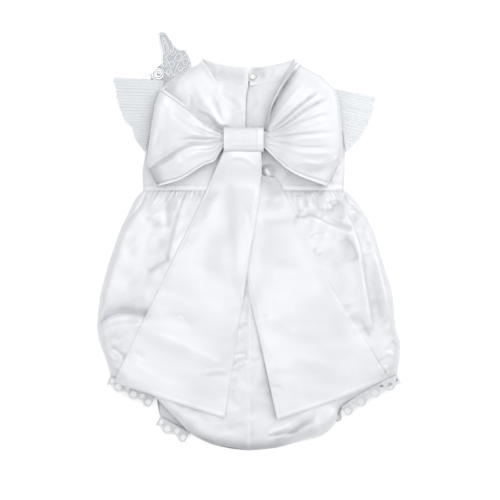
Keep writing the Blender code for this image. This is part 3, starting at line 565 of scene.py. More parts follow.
bloomer = {
    "sideLeft": ((-114.5, 0), (-123, -9), (-131, -26), (-139, -43), (-151, -78),
                 (-160, -112), (-164, -147), (-161, -164), (-154, -184), (-149, -200)),
    "sideRight": ((103.7, 0), (114, -9), (126, -26), (134, -43), (145, -78),
                  (155, -112), (158, -147), (163, -164), (163, -182), (160, -199)),
    "hemLeft": ((-149, -200), (-125, -211), (-101.5, -224), (-83, -243.5),
                (-64, -263), (-41, -275), (-0.04, -282)),
    "hemRight": ((160, -199), (130, -213), (99, -234), (92, -254),
                 (79, -265), (59, -271), (30, -279), (0.04, -282)),
    "frontHemLeft": ((-149, -200), (-118, -205), (-100, -226), (-96, -245),
                     (-64, -263), (-41, -275), (-20, -280), (0, -282)),
    "frontHemRight": ((160, -199), (126, -206), (95, -228), (86, -247),
                      (76, -263), (59, -271), (30, -279), (0, -282)),
    # below the waist, height at the middle, height at the side seam
    "heights": ((0, 6.6, 3.0), (12, 10, 4.5), (30, 16, 7), (60, 22, 10), (100, 26, 11),
                (150, 27, 11), (200, 24, 9), (240, 21, 7), (285, 18, 7)),
    "backHem": ((-149, 9), (-135, 12.5), (-112, 12.5), (-100, 8), (-90, 7),
                (82, 7), (96, 8), (112, 12.5), (146, 12.5), (160, 9)),
    "frontHem": ((-149, 6), (-137, 1), (-125, 0), (-108, 0), (-94, 2.6), (-66, 2.6), (-40, 4.4), (40, 4.4),
                 (75, 1), (90, 0), (136, 0), (148, 1), (160, 6)),
    "sideRounding": 10.0, "crotchRounding": 15.0, "frontRounding": 14.0, "edgeStep": 0.8, "hem": 6, "hemRise": 0.3,
    "creases": (  # line, height, width on its left, width on its right, fade in, fade out
        (((-64.8, 1.1), (-70.7, -14), (-76.1, -32.4), (-79.9, -48.6), (-84.2, -67), (-86.9, -84.2)),
         2.0, 13, 2.0, 0.04, 0.2),
        (((-88.6, -1.1), (-89, -21.6), (-87.9, -44.3)), -1.9, 4.5, 5, 0.1, 0.2),
        (((-76.7, -4.3), (-77.2, -14), (-78.3, -24.8)), 1.5, 4, 4, 0.2, 0.2),
        (((-80.5, -27.6), (-74.5, -27.6)), -0.8, 2.2, 2.0, 0.3, 0.3),
        (((-114.5, -28), (-105.8, -33), (-90.7, -39.9)), -1.9, 3.6, 4.4, 0.25, 0.4),
        (((-110.7, -1.1), (-116.6, -15.1), (-126.7, -28.8), (-138.2, -44.3), (-148, -67)),
         -1.7, 2.4, 1.6, 0.1, 0.3),
        (((-116.6, -81), (-107, -85.9), (-96.1, -79.5), (-84.2, -73.5)), -2.2, 6.5, 2.6, 0.35, 0.1),
        (((-164.2, -146.9), (-152.3, -135.5), (-140.4, -130.7),
          (-127.4, -130.7), (-110.2, -133.9), (-89.6, -137.2)),
         -5.4, 6.5, 3.2, 0.08, 0.3),
        (((-160.9, -155.5), (-144.7, -146.9), (-128.5, -144.2), (-106.9, -146.9)), 2.8, 3.4, 13, 0.15, 0.25),
        (((-150.1, -167.4), (-141.5, -172.8), (-131.8, -182)), -1.8, 3.4, 2, 0.3, 0.2),
        (((-154.4, -173.9), (-148, -178.2), (-141.5, -184.7)), 1.2, 2, 3, 0.2, 0.2),
        (((-145.8, -154.4), (-138.2, -163.1)), -1.1, 5, 5, 0.3, 0.3),
        (((-150.1, -138.2), (-160.9, -118.8), (-156.6, -97.2)), -0.9, 6, 6, 0.3, 0.4),
        (((-130.7, -48.6), (-117.7, -64.8), (-124.2, -102.6)), 0.9, 12, 12, 0.3, 0.3),
        (((-103.7, -49.7), (-95, -57.2), (-98.3, -67)), -0.6, 5, 5, 0.3, 0.3),
        (((60.5, -2.2), (63.7, -11.9), (64.8, -21.6)), 1.6, 2.6, 2.4, 0.1, 0.25),
        (((67, -2.2), (68.6, -10.8), (68, -19.4)), 1.3, 2.0, 2.2, 0.1, 0.25),
        (((52.9, -5.4), (54, -14), (56.2, -22.7)), 1.3, 2.6, 2.6, 0.1, 0.25),
        (((70.8, 1.1), (71.8, -11.9), (76.7, -19.4), (86.4, -22.7)), -1.3, 2.2, 3, 0.08, 0.3),
        (((77.8, -3.2), (82.1, -8.6), (86.4, -15.1)), 2.0, 5, 4, 0.15, 0.2),
        (((86.4, -16.7), (92.9, -15.1), (98.3, -9.7)), -1.8, 3.4, 3, 0.3, 0.3),
        (((82.1, -20), (91.8, -21.1)), -1.5, 2, 2.4, 0.2, 0.2),
        (((90.7, 2.2), (96.1, -2.2), (100.4, -7.6)), 2.0, 4, 3, 0.15, 0.2),
        (((50.2, -28.1), (57.8, -30.8), (65.3, -29.2), (74.5, -31.9),
          (84.2, -37.3), (96.1, -41.6), (105.8, -45.4), (112.3, -49.7)),
         2.7, 1.5, 9, 0.08, 0.1),
        (((54, -23.8), (61.6, -24.4)), 1.4, 3, 2.4, 0.2, 0.2),
        (((74.5, -25), (92, -34), (104.8, -39.4), (111, -41)), -1.5, 2.6, 1.6, 0.4, 0.1),
        (((76.7, -27), (91.8, -30.8), (105.8, -32.4)), 1.3, 1.5, 4, 0.15, 0.2),
        (((65.3, -52.9), (74, -48.2), (85.9, -50.5)), 1.1, 1.3, 4, 0.2, 0.2),
        (((69.7, -63.7), (76.7, -69.7)), 1.0, 2.6, 2.6, 0.3, 0.3),
        (((101, -47), (110, -60), (116.2, -76)), -1.3, 2.0, 12, 0.25, 0.12),
        (((101.5, -13), (105.8, -29.2), (113.4, -46.4),
          (118.8, -64.8), (122.4, -91.8), (126.4, -116.6), (132.3, -152.3)),
         2.8, 1.9, 9, 0.06, 0.06),
        (((128.5, -34.6), (136.1, -67), (141.5, -91.8), (147.4, -116.6), (152.8, -142.6)),
         1.8, 1.9, 6, 0.1, 0.1),
        (((103.7, -5.4), (111.2, -10.8), (117.7, -17.3)), 1.5, 4, 4, 0.2, 0.2),
        (((106.9, -17.8), (114.5, -19.4), (121, -25.9)), -1.4, 2.4, 2.4, 0.2, 0.2),
        (((121, -24.8), (125.3, -34.6), (127.4, -45.4)), 1.2, 3, 2.4, 0.2, 0.2),
        (((110.2, -23.8), (112.3, -29.2), (116.6, -33.5)), -0.9, 4, 3.5, 0.3, 0.3),
        (((124.2, -57.2), (133.9, -62.1)), -0.9, 2.6, 2.6, 0.3, 0.3),
        (((121, -68), (133.9, -64.8)), 1.0, 2.6, 2.6, 0.25, 0.25),
        (((127, -84), (134, -108), (142, -146)), -1.2, 5, 6, 0.35, 0.3),
        (((142.6, -77.8), (145.8, -87.5)), -0.8, 3, 2.6, 0.3, 0.3),
        (((100.4, -118.8), (111.2, -138.2), (119.9, -151.2)), -0.9, 6, 5, 0.3, 0.2),
        (((117, -134), (124, -148), (129.6, -157.7)), -1.3, 1.6, 4, 0.4, 0.15),
        (((139.9, -181.4), (148, -174.4), (157.1, -178.2)), 1.3, 1.5, 3.4, 0.15, 0.15),
        (((146.4, -187.9), (147.4, -195.5), (148.4, -203)), 1.4, 2.4, 2.4, 0.15, 0.15),
        (((137.2, -187.9), (141.5, -194.4), (142.6, -202)), 1.0, 2.0, 1.6, 0.2, 0.2),
        (((154.4, -190.1), (156.6, -197.6), (155.5, -205.2)), 1.0, 2.0, 2.0, 0.2, 0.2),
        (((151.2, -162), (158.8, -167.4), (163.1, -175)), -1.2, 2.4, 2.4, 0.2, 0.2),
        (((17.3, -268.9), (27, -264.1), (37.8, -262.2),
          (47.5, -260.3), (57.2, -253.8), (68, -246.8), (73.4, -234.4)),
         -2.4, 2.6, 1.3, 0.2, 0.4),
        (((24.8, -273.8), (36.7, -270), (51.8, -262.4), (62.6, -254.9), (70.2, -250), (74, -238.7)),
         1.5, 1.5, 4.5, 0.2, 0.3),
        (((18.4, -263.5), (31.3, -258.1), (46.4, -253.8)), 1.5, 2.2, 2, 0.2, 0.25),
        (((74.5, -250.6), (78.8, -255.4), (84.2, -260.3)), -0.9, 1.7, 1.7, 0.3, 0.3),
        (((92.9, -233.3), (83.2, -246.2), (67, -258.1)), 1.6, 6, 5, 0.2, 0.3),
        (((0, -118.8), (0, -205.2), (0, -278.6)), 0.5, 1.5, 1.5, 0.05, 0.02),
        (((3.9, -151.2), (4.1, -216), (3.9, -278.6)), -0.25, 2.0, 2.0, 0.2, 0.1),
        (((-11.3, -151.7), (-6.5, -145.8), (-1.1, -143.1)), -1.1, 1.5, 1.5, 0.2, 0.15),
        (((-16.7, -177.7), (-9.7, -176), (-1.6, -175.5)), -1.0, 1.4, 1.4, 0.2, 0.1),
        (((-17.8, -189.5), (-11.9, -183.6), (-1.6, -179.8)), -1.3, 1.4, 1.3, 0.2, 0.1),
        (((-16.2, -193.3), (-10.3, -187.4), (-1.6, -184.1)), 1.0, 1.3, 1.8, 0.2, 0.1),
        (((3.2, -185.8), (8.6, -182), (14, -181.4)), -0.7, 1.5, 1.5, 0.15, 0.3),
        (((-14, -196.6), (-17.3, -218.2), (-14, -237.6)), -0.8, 4, 3, 0.3, 0.3),
        (((-5.4, -203), (-6.5, -226.8), (-4.3, -253.8)), 0.5, 3, 3, 0.3, 0.3),
        (((-96.1, -229), (-71.3, -241.9), (-44.3, -252.7)), 1.0, 5, 6, 0.2, 0.35),
        (((-87.5, -239.8), (-68, -253.8), (-40, -267.8)), -0.7, 5, 4, 0.2, 0.3),
        (((-25.9, -259.2), (-11.9, -252.7), (-2.2, -252.7)), -0.8, 5, 5, 0.3, 0.2),
    ),
    "paintedLightAndShade": (  # painted shade and light, in rows like the creases: darker where positive, paler where negative; it paints highlights on the ridges, the shadow beside the right sash end and a dark band along the bottom edge
        (((-164, -142), (-150, -126), (-128, -121), (-96, -122)), 0.12, 9, 7, 0.15, 0.35),
        (((-140, -160), (-125, -156), (-112, -160)), -0.12, 9, 9, 0.2, 0.2),
        (((-100, -50), (-93, -60), (-96, -74)), 0.16, 9, 9, 0.3, 0.3),
        (((-128, -60), (-132, -90), (-126, -112)), -0.04, 12, 9, 0.3, 0.3),
        (((-112, -70), (-108, -90), (-112, -114)), 0.12, 12, 12, 0.3, 0.3),
        (((78, -60), (94, -82), (106, -112)), 0.13, 16, 16, 0.2, 0.2),
        (((-75, -6), (-80, -26), (-84, -44)), -0.16, 6, 2, 0.2, 0.3),
        (((-62, -6), (-74, -40), (-86, -70)), -0.10, 5, 5, 0.2, 0.2),
        (((101, -47), (111, -60), (117, -78)), 0.34, 1.6, 13, 0.2, 0.12),
        (((123, -78), (134, -112), (146, -158)), 0.2, 8, 7, 0.25, 0.15),
        (((101.5, -13), (113.4, -46.4), (122.4, -91.8), (132.3, -152.3)), -0.22, 1.7, 1.7, 0.08, 0.06),
        (((128.5, -34.6), (141.5, -91.8), (152.8, -142.6)), -0.2, 1.6, 1.6, 0.1, 0.1),
        (((50.2, -28.1), (65.3, -29.2), (84.2, -37.3), (112.3, -49.7)), -0.2, 1.5, 2.2, 0.08, 0.1),
        (((76, -100), (96, -112), (112, -140)), 0.14, 10, 8, 0.3, 0.3),
        (((138, -176), (148, -186), (156, -200)), -0.16, 9, 9, 0.3, 0.2),
        (((0, -118.8), (0, -205.2), (0, -280)), -0.22, 1.3, 1.3, 0.02, 0.01),
        (((-78, -256), (-44, -272), (-16, -279), (12, -280), (36, -276), (58, -270)),
         1.25, 6.0, 5.0, 0.3, 0.25),
        (((-2, -94), (5, -130), (14, -167), (30, -246)), 0.3, 3.0, 3.4, 0.02, 0.02),
        (((-1, -96), (4, -125), (12, -160)), 0.3, 3.0, 7.0, 0.05, 0.5),
        (((-92, -243), (-76, -254), (-52, -268), (-30, -274)), 0.55, 2.5, 2.5, 0.1, 0.3),
        (((20, -272), (42, -266), (62, -255)), 0.5, 4, 4, 0.3, 0.3),
        (((12, -200), (20, -232), (28, -256)), 0.2, 5, 5, 0.2, 0.2),
        (((16, -262), (34, -256), (58, -243), (74, -228)), -0.18, 1.6, 1.6, 0.2, 0.2),
    ),
    "gatherSeed": 11, "gatherDepth": 1.0, "gatherSpacing": (3.8, 6.8), "gatherLength": (8.0, 26.0),
    "gatherFan": 0.55,
}


def sideDistance(x, y):
    reach = np.where(x < 0, -acrossAt(bloomer["sideLeft"], y), acrossAt(bloomer["sideRight"], y))
    below = 60 + 0.6 * (150 - np.abs(x))
    blend = soft((y + 206) / 8)
    return np.minimum((reach - np.abs(x)) * blend + below * (1 - blend), 90)


def dome(x, y):
    below = np.maximum(0, -y)
    crown, seam = readTable(bloomer["heights"], below, 1), readTable(bloomer["heights"], below, 2)
    side = quarter(np.maximum(0, sideDistance(x, y)) / bloomer["sideRounding"])
    hem = readTable(bloomer["backHem"], x, 1)
    leg = soft((hem - 7) / 5)
    fromHem = (y - bottomAt(x, bloomer["hemLeft"], bloomer["hemRight"])) / bloomer["crotchRounding"]
    drop = (1 - leg) * quarter(fromHem) + leg * np.sin(math.pi / 2 * np.clip(fromHem, 0, 1))
    whole = seam + (crown - seam) * side
    low = np.minimum(whole, hem)
    return low + (whole - low) * drop


def waistGathers(x, y):  # short puckers run down from the waist seam, fanning outwards
    random = np.random.default_rng(bloomer["gatherSeed"])
    lift, start = np.zeros(x.shape), -113.0
    while start < 102:
        length = random.uniform(*bloomer["gatherLength"])
        width, height = random.uniform(1.0, 2.0), bloomer["gatherDepth"] * random.uniform(0.6, 1.4)
        lean = (start + 5) / 110 * bloomer["gatherFan"] + random.uniform(-0.15, 0.15)
        hook = random.uniform(-2.5, 2.5)
        along = -y
        middle = start + lean * along + hook * (along / length) ** 2
        fade = soft(1 - along / length) ** 0.8 * soft(0.35 + along / 2.5)
        lift += height * np.exp(-np.abs((x - middle) / width) ** 1.7) * fade
        start += random.uniform(*bloomer["gatherSpacing"])
    return lift - 0.35 * bloomer["gatherDepth"] * soft(1 + y / 20)


def backOfBloomer(x, y):
    inside = soft(sideDistance(x, y) / 9)
    inside = inside * soft((y - bottomAt(x, bloomer["hemLeft"], bloomer["hemRight"])) / 7)
    relief = creases(x, y, bloomer["creases"])
    relief = relief + 0.65 * ripple(x, y, 3, 42) + 0.16 * ripple(x, y, 4, 17) - 0.25 * np.abs(ripple(x, y, 5, 26))
    nearWaist = soft((sideDistance(x, y) + 2) / 6)
    relief = relief * inside * soft(0.25 - y / 16) + waistGathers(x, y) * nearWaist
    return dome(x, y) - 0.35 * soft(1 + y / 2.5), relief


def backOfBodice(x, y):
    reach = np.where(x < 0, -acrossAt(bodice["sideLeft"], y), acrossAt(bodice["sideRight"], y))
    side = quarter((reach - np.abs(x)) / bodice["rounding"])
    shoulder = np.minimum(*(distanceTo(neckEdge(0, sign, 0)[-2:], x, y) for sign in (-1, 1)))
    top = quarter(shoulder / bodice["rounding"])
    return bodice["edge"] + (bodice["rise"] - bodice["edge"]) * side * top


print("building the bodice")


def backPanel(name, side, sign, inner):
    u, v = grid(76, 90)
    across = np.sin(u * math.pi / 2) * 0.4 + u * 0.6
    neck = neckEdge(inner[0][0] / collar["baseHalf"], sign, 0)
    x, y = patch(across, v, (inner[-1], side[0]), neck, (inner[-1], *inner[-2:0:-1], neck[0]), side)
    fromNeck = distanceTo(neck[:-1], x, y)
    z = backOfBodice(x, y)
    z = np.maximum(z, bodice["edge"] + (bodice["rise"] - bodice["edge"]) * soft(1 - fromNeck / 12) * 0.9)
    inside = soft(distanceTo(side, x, y) / 6) * soft(distanceTo(neck[-2:], x, y) / 5)
    relief = bodice["crease"] * creases(x, y, bodice["creases"])
    relief = relief + 0.16 * ripple(x, y, 21, 30) + 0.09 * ripple(x, y, 22, 13)
    band = bodice["band"] * soft((bodice["bandWidth"] - y) / 0.8)  # the lower edge, pressed up over the seam
    pucker = bodice["pucker"] * ripple(x, 0 * y, 23, 5) * soft(1 - y / bodice["puckerLength"])
    nearNeck = bodice["neckSeam"] * soft((bodice["neckSeamWidth"] - fromNeck) / 0.8)  # turned neck seam
    y = y - bodice["lap"] * (1 - soft(y / 3))  # it laps over the top of the bloomer
    z = z + relief * inside * soft(y / 8) + band + pucker + nearNeck - 0.4 * soft(1 - (y + 0.5) / 1.5)
    if sign > 0:
        past = x - acrossAt(inner, y) - bodice["overlap"]  # how far right of the opening's edge
        groove = bodice["groove"] * np.exp(-(np.maximum(past, 0) / bodice["grooveWidth"]) ** 2)
        z = z - bodice["step"] * soft((bodice["stepWidth"] - past) / bodice["stepWidth"]) - groove
        # the groove also goes twice over into the relief that sets the painted shade, so the line beside the
        # opening is painted darker
        relief = relief - groove * 2
    else:
        fold = distanceTo(inner, x, y)  # the folded edge with its facing
        z = z + 0.3 * soft((bodice["facing"] - fold) / 1.4) - 0.5 * soft(1 - fold / 1.3)
    # painted shade in the creases, plus the bodice's rows of painted light
    shade = paintedCreaseShade(relief * inside) + creases(x, y, bodice["paintedLightAndShade"])
    return buildSheet(name, x, y, z, finishes["satin"], shade=shade)


backLeft = backPanel("bodiceBackLeft", bodice["sideLeft"], -1, bodice["opening"])
underLine = tuple((x - bodice["overlap"], y) for x, y in bodice["opening"])
backRight = backPanel("bodiceBackRight", bodice["sideRight"], 1, underLine)
dress(["bodice_back_left"])
dress(["bodice_back_right"])


def frontPanel():
    u, v = grid(121, 60, -1)
    halves = []
    for sign, side in ((-1, bodice["sideLeft"]), (1, bodice["sideRight"])):
        neck = neckEdge(0, sign, 1)
        x, y = patch(np.abs(u), v, ((0, side[0][1]), side[0]), neck, ((0, side[0][1]), neck[0]), side)
        halves.append((x, y, distanceTo((*side, neck[-2]), x, y)))
    x, y, edge = (np.where(u < 0, low, high) for low, high in zip(*halves))
    z = bodice["frontRise"] * (1 - quarter(edge / bodice["frontRounding"]))
    return buildSheet("bodiceFront", x, y, z, finishes["satin"], facing="down")


front = frontPanel()
dress(["bodice_front"])


def collarBand():
    turn, up = grid(240, 22)
    angle = math.pi / 2 + collar["opening"] + (2 * math.pi - 2 * collar["opening"]) * turn
    reach, over = np.cos(angle), np.sin(angle)
    front = (over < 0) * 1.0
    (lowX, lowY), (highX, highY) = collarEdge("base", reach, front), collarEdge("top", reach, front)
    x, y = lowX + (highX - lowX) * up, lowY + (highY - lowY) * up
    z = collar["middle"] + collar["half"] * np.copysign(np.abs(over) ** collar["square"], over)
    back = soft(over * 3)
    edge = collar["topBand"] * soft((up - 0.86) / 0.1) - 0.5 * soft((up - 0.97) / 0.03)
    relief = creases(x, y, collar["creases"]) * soft(up * 6) * soft((1 - up) * 8)
    z = z + back * (0.16 * ripple(x, y, 31, 22) + edge + collar["topRise"] * up + relief)
    z = z + back * 0.25 * soft(1 - up / 0.08) - 0.5 * back * soft(1 - up / 0.05)
    # painted shade in the creases plus the collar's rows of painted light and shade, on its back only
    shade = (paintedCreaseShade(relief) + creases(x, y, collar["paintedLightAndShade"])) * back
    return buildSheet("collarBand", x, y, z, finishes["satin"], facing="out", shade=shade)


band = collarBand()
dress(["collar"])

print("building the bloomer")


def bloomerPoint(side, hem, across, down):
    inner = ((hem[-1][0], 0), hem[-1])
    return patch(across, down, (inner[0], side[0]), hem[::-1], inner, side)


def bloomerBack(name, side, hem):
    u, v = grid(136, 182)
    x, y = bloomerPoint(bloomer[side], bloomer[hem], 1 - (1 - u) ** 1.15, v)
    z, relief = backOfBloomer(x, y)
    fromHem = distanceTo(path(bloomer[hem], np.linspace(0, 1, 60)), x, y)
    atLeg = np.abs(x) > 55
    z = z + relief + bloomer["hemRise"] * soft((bloomer["hem"] - fromHem) / 1.2) * atLeg
    # painted shade in the creases plus the bloomer's rows of painted light and shade
    shade = paintedCreaseShade(relief) + creases(x, y, bloomer["paintedLightAndShade"])
    return buildSheet(name, x, y, z, finishes["satin"], shade=shade)


seatLeft = bloomerBack("bloomerBackLeft", "sideLeft", "hemLeft")
seatRight = bloomerBack("bloomerBackRight", "sideRight", "hemRight")
dress(["bloomer_back_left"])
dress(["bloomer_back_right"])


def bloomerFront():
    u, v = grid(181, 150, -1)
    across, down = 1 - (1 - np.abs(u)) ** 1.2, 1 - (1 - v) ** 1.15
    left = bloomerPoint(bloomer["sideLeft"], bloomer["frontHemLeft"], across, down)
    right = bloomerPoint(bloomer["sideRight"], bloomer["frontHemRight"], across, down)
    x, y = (np.where(u < 0, low, high) for low, high in zip(left, right))
    seam = readTable(bloomer["heights"], np.maximum(0, -y), 2) - bloomer["edgeStep"]
    fromSide = np.where(y > -199, sideDistance(x, y), 60)
    sideRise = np.maximum(0, seam) * (1 - quarter(fromSide / bloomer["frontRounding"]))
    fromHem = y - bottomAt(x, bloomer["frontHemLeft"], bloomer["frontHemRight"])
    hemRise = readTable(bloomer["frontHem"], x, 1) * (1 - quarter(fromHem / bloomer["frontRounding"]))
    z = np.maximum(sideRise, hemRise) + 0.25 * (0.5 + 0.5 * ripple(x, y, 61, 24)).clip(0, 1) * soft(fromSide / 20)
    z = z + 0.5 * (0.5 + 0.5 * ripple(x, 0 * y, 62, 6)).clip(0, 1) * soft(1 + y / 22)
    y = y - 0.4 * (v == 0)
    return buildSheet("bloomerFront", x, y, np.maximum(z, 0), finishes["satin"], facing="down")


lap = bloomerFront()
dress(["bloomer_front"])

print("draping the sash ends")

# the relief under the sash ends, read off at every millimetre
ground = {"x": np.arange(-176, 178, 1.0), "y": np.arange(-294, 150, 1.0)}
groundX, groundY = np.meshgrid(ground["x"], ground["y"], indexing="ij")
ground["z"] = np.where(groundY > 0.3, backOfBodice(groundX, groundY) + 0.6, sum(backOfBloomer(groundX, groundY)))


def drape(values, reach, softness):  # cloth laid over a relief: it bridges the hollows
    high = values.copy()
    for dx in range(-reach, reach + 1):
        for dy in range(-reach, reach + 1):
            if dx * dx + dy * dy <= reach * reach:
                high = np.maximum(high, np.roll(values, (dx, dy), (0, 1)))
    return blur(high, softness)


def readGround(values, x, y):
    i = np.clip(x - ground["x"][0], 0, values.shape[0] - 1.001)
    j = np.clip(y - ground["y"][0], 0, values.shape[1] - 1.001)
    low, left = i.astype(int), j.astype(int)
    a, b = i - low, j - left
    bottom = values[low, left] * (1 - a) + values[low + 1, left] * a
    return bottom * (1 - b) + (values[low, left + 1] * (1 - a) + values[low + 1, left + 1] * a) * b


sash = {
    "lift": 1.1, "crossLift": 2.1, "crossReach": 16, "settle": 14, "knotReach": 44,
    "hem": 4.6, "sideHem": 2.4, "hemRise": 0.42, "edgeRoll": 0.5, "edgeDrop": 0.7,
    "left": {
        "left": ((-26, 44), (-46.4, 0), (-62.6, -35.6), (-107, -127.4), (-145.8, -207.4)),
        "right": ((13, 44), (13.5, 15), (6.5, -37.8), (-2.2, -92), (-14, -167.4), (-26, -245)),
        "hem": ((-145.8, -207.4), (-107, -219), (-63.7, -233.3), (-26, -245)),
        "knotRise": 12.0, "curl": 0.0,
        # painted light on the top below the knot and near the hem, painted shade in two bands
        "paintedLightAndShade": (
            (((-8, 44), (-8, 24), (-14, -4)), -0.35, 22, 22, 0.01, 0.5),
            (((-138, -186), (-104, -200), (-60, -216)), -0.2, 14, 14, 0.1, 0.4),
            (((-100, -150), (-70, -160), (-40, -180)), -0.10, 18, 18, 0.3, 0.3),
            (((-90, -128), (-66, -136), (-44, -150)), 0.10, 7, 9, 0.3, 0.3),
            (((-16, -110), (-22, -150), (-36, -196)), 0.12, 12, 10, 0.3, 0.3),
        ),
        "creases": (
            (((-24.8, 32.4), (-9.7, 34.6), (3.2, 28.1), (10.8, 17.3)), 0.7, 3, 1.5, 0.2, 0.2),
            (((-20.5, 29.2), (-7.6, 30.2), (1.1, 22.7)), -0.4, 2, 2, 0.3, 0.3),
            (((-114.5, -111.2), (-96.1, -111.8), (-70.2, -120.4), (-51.8, -131.8)), 0.9, 5, 7, 0.2, 0.3),
            (((-109.1, -138.2), (-79.9, -136.1), (-52.9, -149)), -0.9, 7, 6, 0.2, 0.35),
            (((-111.2, -152.3), (-88.6, -158.8), (-63.7, -170.6), (-28.1, -188.5)), 0.9, 4, 7, 0.15, 0.1),
            (((-55.1, -196.6), (-37.8, -193.9), (-22.7, -193.9)), 0.55, 1.6, 3, 0.3, 0.1),
            (((-48.6, -200.9), (-35.6, -198.2), (-22.7, -199.3)), -0.5, 2, 3, 0.3, 0.1),
            (((-132.8, -173.9), (-122, -173.9), (-109.1, -182.5)), -0.8, 4, 3.5, 0.2, 0.3),
            (((-125.3, -185.8), (-111.2, -194.4), (-96.1, -203)), 0.6, 4, 5, 0.2, 0.3),
            (((-8.6, -16.2), (0, -27), (1.6, -49.7)), -0.55, 3, 3, 0.2, 0.3),
            (((-65.9, -77.8), (-40, -86.4), (-19.4, -103.7)), -0.7, 9, 9, 0.25, 0.3),
            (((-63.7, -51.8), (-40, -56.2), (-14, -64.8)), 0.6, 8, 9, 0.25, 0.3),
            (((-18.4, -118.8), (-11.9, -129.6), (-14, -151.2)), 0.4, 4, 4, 0.25, 0.3),
            (((-52.9, -27), (-40, -34.6), (-18.4, -36.7)), 0.5, 8, 8, 0.3, 0.3),
        ),
    },
    "right": {
        "left": ((-14, 44), (-10, 0), (-4, -92), (13, -167.4), (30.2, -246.2)),
        "right": ((12.4, 44), (13.8, 17), (30, 12), (43.2, -10.8), (74.5, -81), (103.7, -129.6), (147, -198)),
        "knotRise": 7.0, "curl": 4.5,
        "hem": ((30.2, -246.2), (71.3, -233.3), (113.4, -217.6), (147, -203), (147, -198)),
        # painted shadow at the top under the right loop, painted shade along the right edge and lower part, a
        # little painted light lower left
        "paintedLightAndShade": (
            (((13, 15), (26, 2), (36, -8)), 0.74, 10, 12, 0.01, 0.25),
            (((16, -30), (34, -60), (50, -90)), 0.16, 20, 16, 0.2, 0.3),
            (((38, -16), (70, -78), (98, -126)), 0.24, 8, 7, 0.1, 0.2),
            (((60, -110), (88, -146), (108, -180)), 0.20, 16, 22, 0.2, 0.3),
            (((12, -120), (26, -160), (44, -200)), -0.12, 14, 14, 0.3, 0.3),
        ),
        "creases": (
            (((9.7, -31.3), (28.1, -33.5), (50.8, -31.3)), -0.8, 4, 4, 0.2, 0.3),
            (((14, -8.6), (24.8, -14), (37.8, -10.8)), -0.5, 4, 4, 0.3, 0.3),
            (((14, -20.5), (29.2, -22.7), (44.3, -19.4)), 0.5, 4, 4, 0.3, 0.3),
            (((22.7, -77.8), (40, -84.2), (58.3, -84.2)), -0.6, 8, 8, 0.3, 0.3),
            (((74.5, -115.6), (91.8, -138.2), (104.8, -169.6)), -0.9, 13, 12, 0.3, 0.3),
            (((14, -138.2), (35.6, -142.6), (55.1, -162)), 0.7, 7, 8, 0.2, 0.35),
            (((14, -136.1), (22.7, -133.9)), -0.4, 1.6, 1.6, 0.1, 0.4),
            (((22.7, -211.7), (29.2, -211.1), (37.8, -213.8)), -0.5, 1.6, 1.6, 0.1, 0.4),
            (((44.3, -172.8), (65.9, -185.8), (91.8, -190.1)), 0.6, 8, 9, 0.3, 0.3),
            (((22.7, -196.6), (42.1, -196.6), (61.6, -200.9)), -0.5, 5, 5, 0.2, 0.4),
        ),
    },
}


def sashEnd(name, tail, under, close):
    u, v = grid(84, 200)
    top = (tail["left"][0], tail["right"][0])
    x, y = patch(u, v, tail["hem"], top, tail["left"][::-1], tail["right"][::-1])
    fromSide = np.minimum(distanceTo(tail["left"], x, y), distanceTo(tail["right"], x, y))
    fromHem = distanceTo(path(tail["hem"], np.linspace(0, 1, 40)), x, y)
    z = readGround(under, x, y) + sash["lift"]
    loose = soft((fromSide - 1) / sash["settle"])  # the edges settle into the folds, the middle bridges them
    z = z * loose + np.minimum(z, readGround(close, x, y) + sash["lift"]) * (1 - loose)
    relief = creases(x, y, tail["creases"]) + 0.3 * ripple(x, y, 41, 60, 1.1) + 0.07 * ripple(x, y, 42, 20)
    z = z + relief + tail["knotRise"] * soft((y + 2) / sash["knotReach"])
    z = z + tail["curl"] * soft((0.48 - v) / 0.4) * soft(1 - u / 0.3)  # the lower left corner turns up
    hem, sideHem = soft((sash["hem"] - fromHem) / 0.8), soft((sash["sideHem"] - fromSide) / 0.8)
    z = z + sash["hemRise"] * hem
    z = z + 0.6 * sash["hemRise"] * sideHem * (1 - hem)
    z = z - sash["edgeRoll"] * soft(1 - np.minimum(fromHem, fromSide) / 1.2)
    z = z - sash["edgeDrop"] * soft(1 - fromSide / 5) * soft(v * 3)
    # painted shade in the creases plus each sash end's rows of painted light and shade
    shade = paintedCreaseShade(relief) + creases(x, y, tail["paintedLightAndShade"])
    return buildSheet(name, x, y, z, finishes["bowSatin"], shade=shade), (x, y, z)


draped, pressed = drape(ground["z"], 8, 5.0), drape(ground["z"], 2, 1.5)
tailRight, rightCloth = sashEnd("bowTailRight", sash["right"], draped, pressed)
crossing = soft((groundX - acrossAt(sash["right"]["left"], groundY) + sash["crossReach"]) / 12)
crossing = crossing * soft((acrossAt(sash["right"]["right"], groundY) + sash["crossReach"] - groundX) / 12)
crossing = blur(crossing, 2.5)
overBoth = crossing * sash["crossLift"]
under, close = draped + overBoth, pressed + (draped - pressed) * crossing + overBoth
tailLeft, leftCloth = sashEnd("bowTailLeft", sash["left"], under, close)
dress(["bow_tail_right"])
dress(["bow_tail_left"])

print("tying the bow")

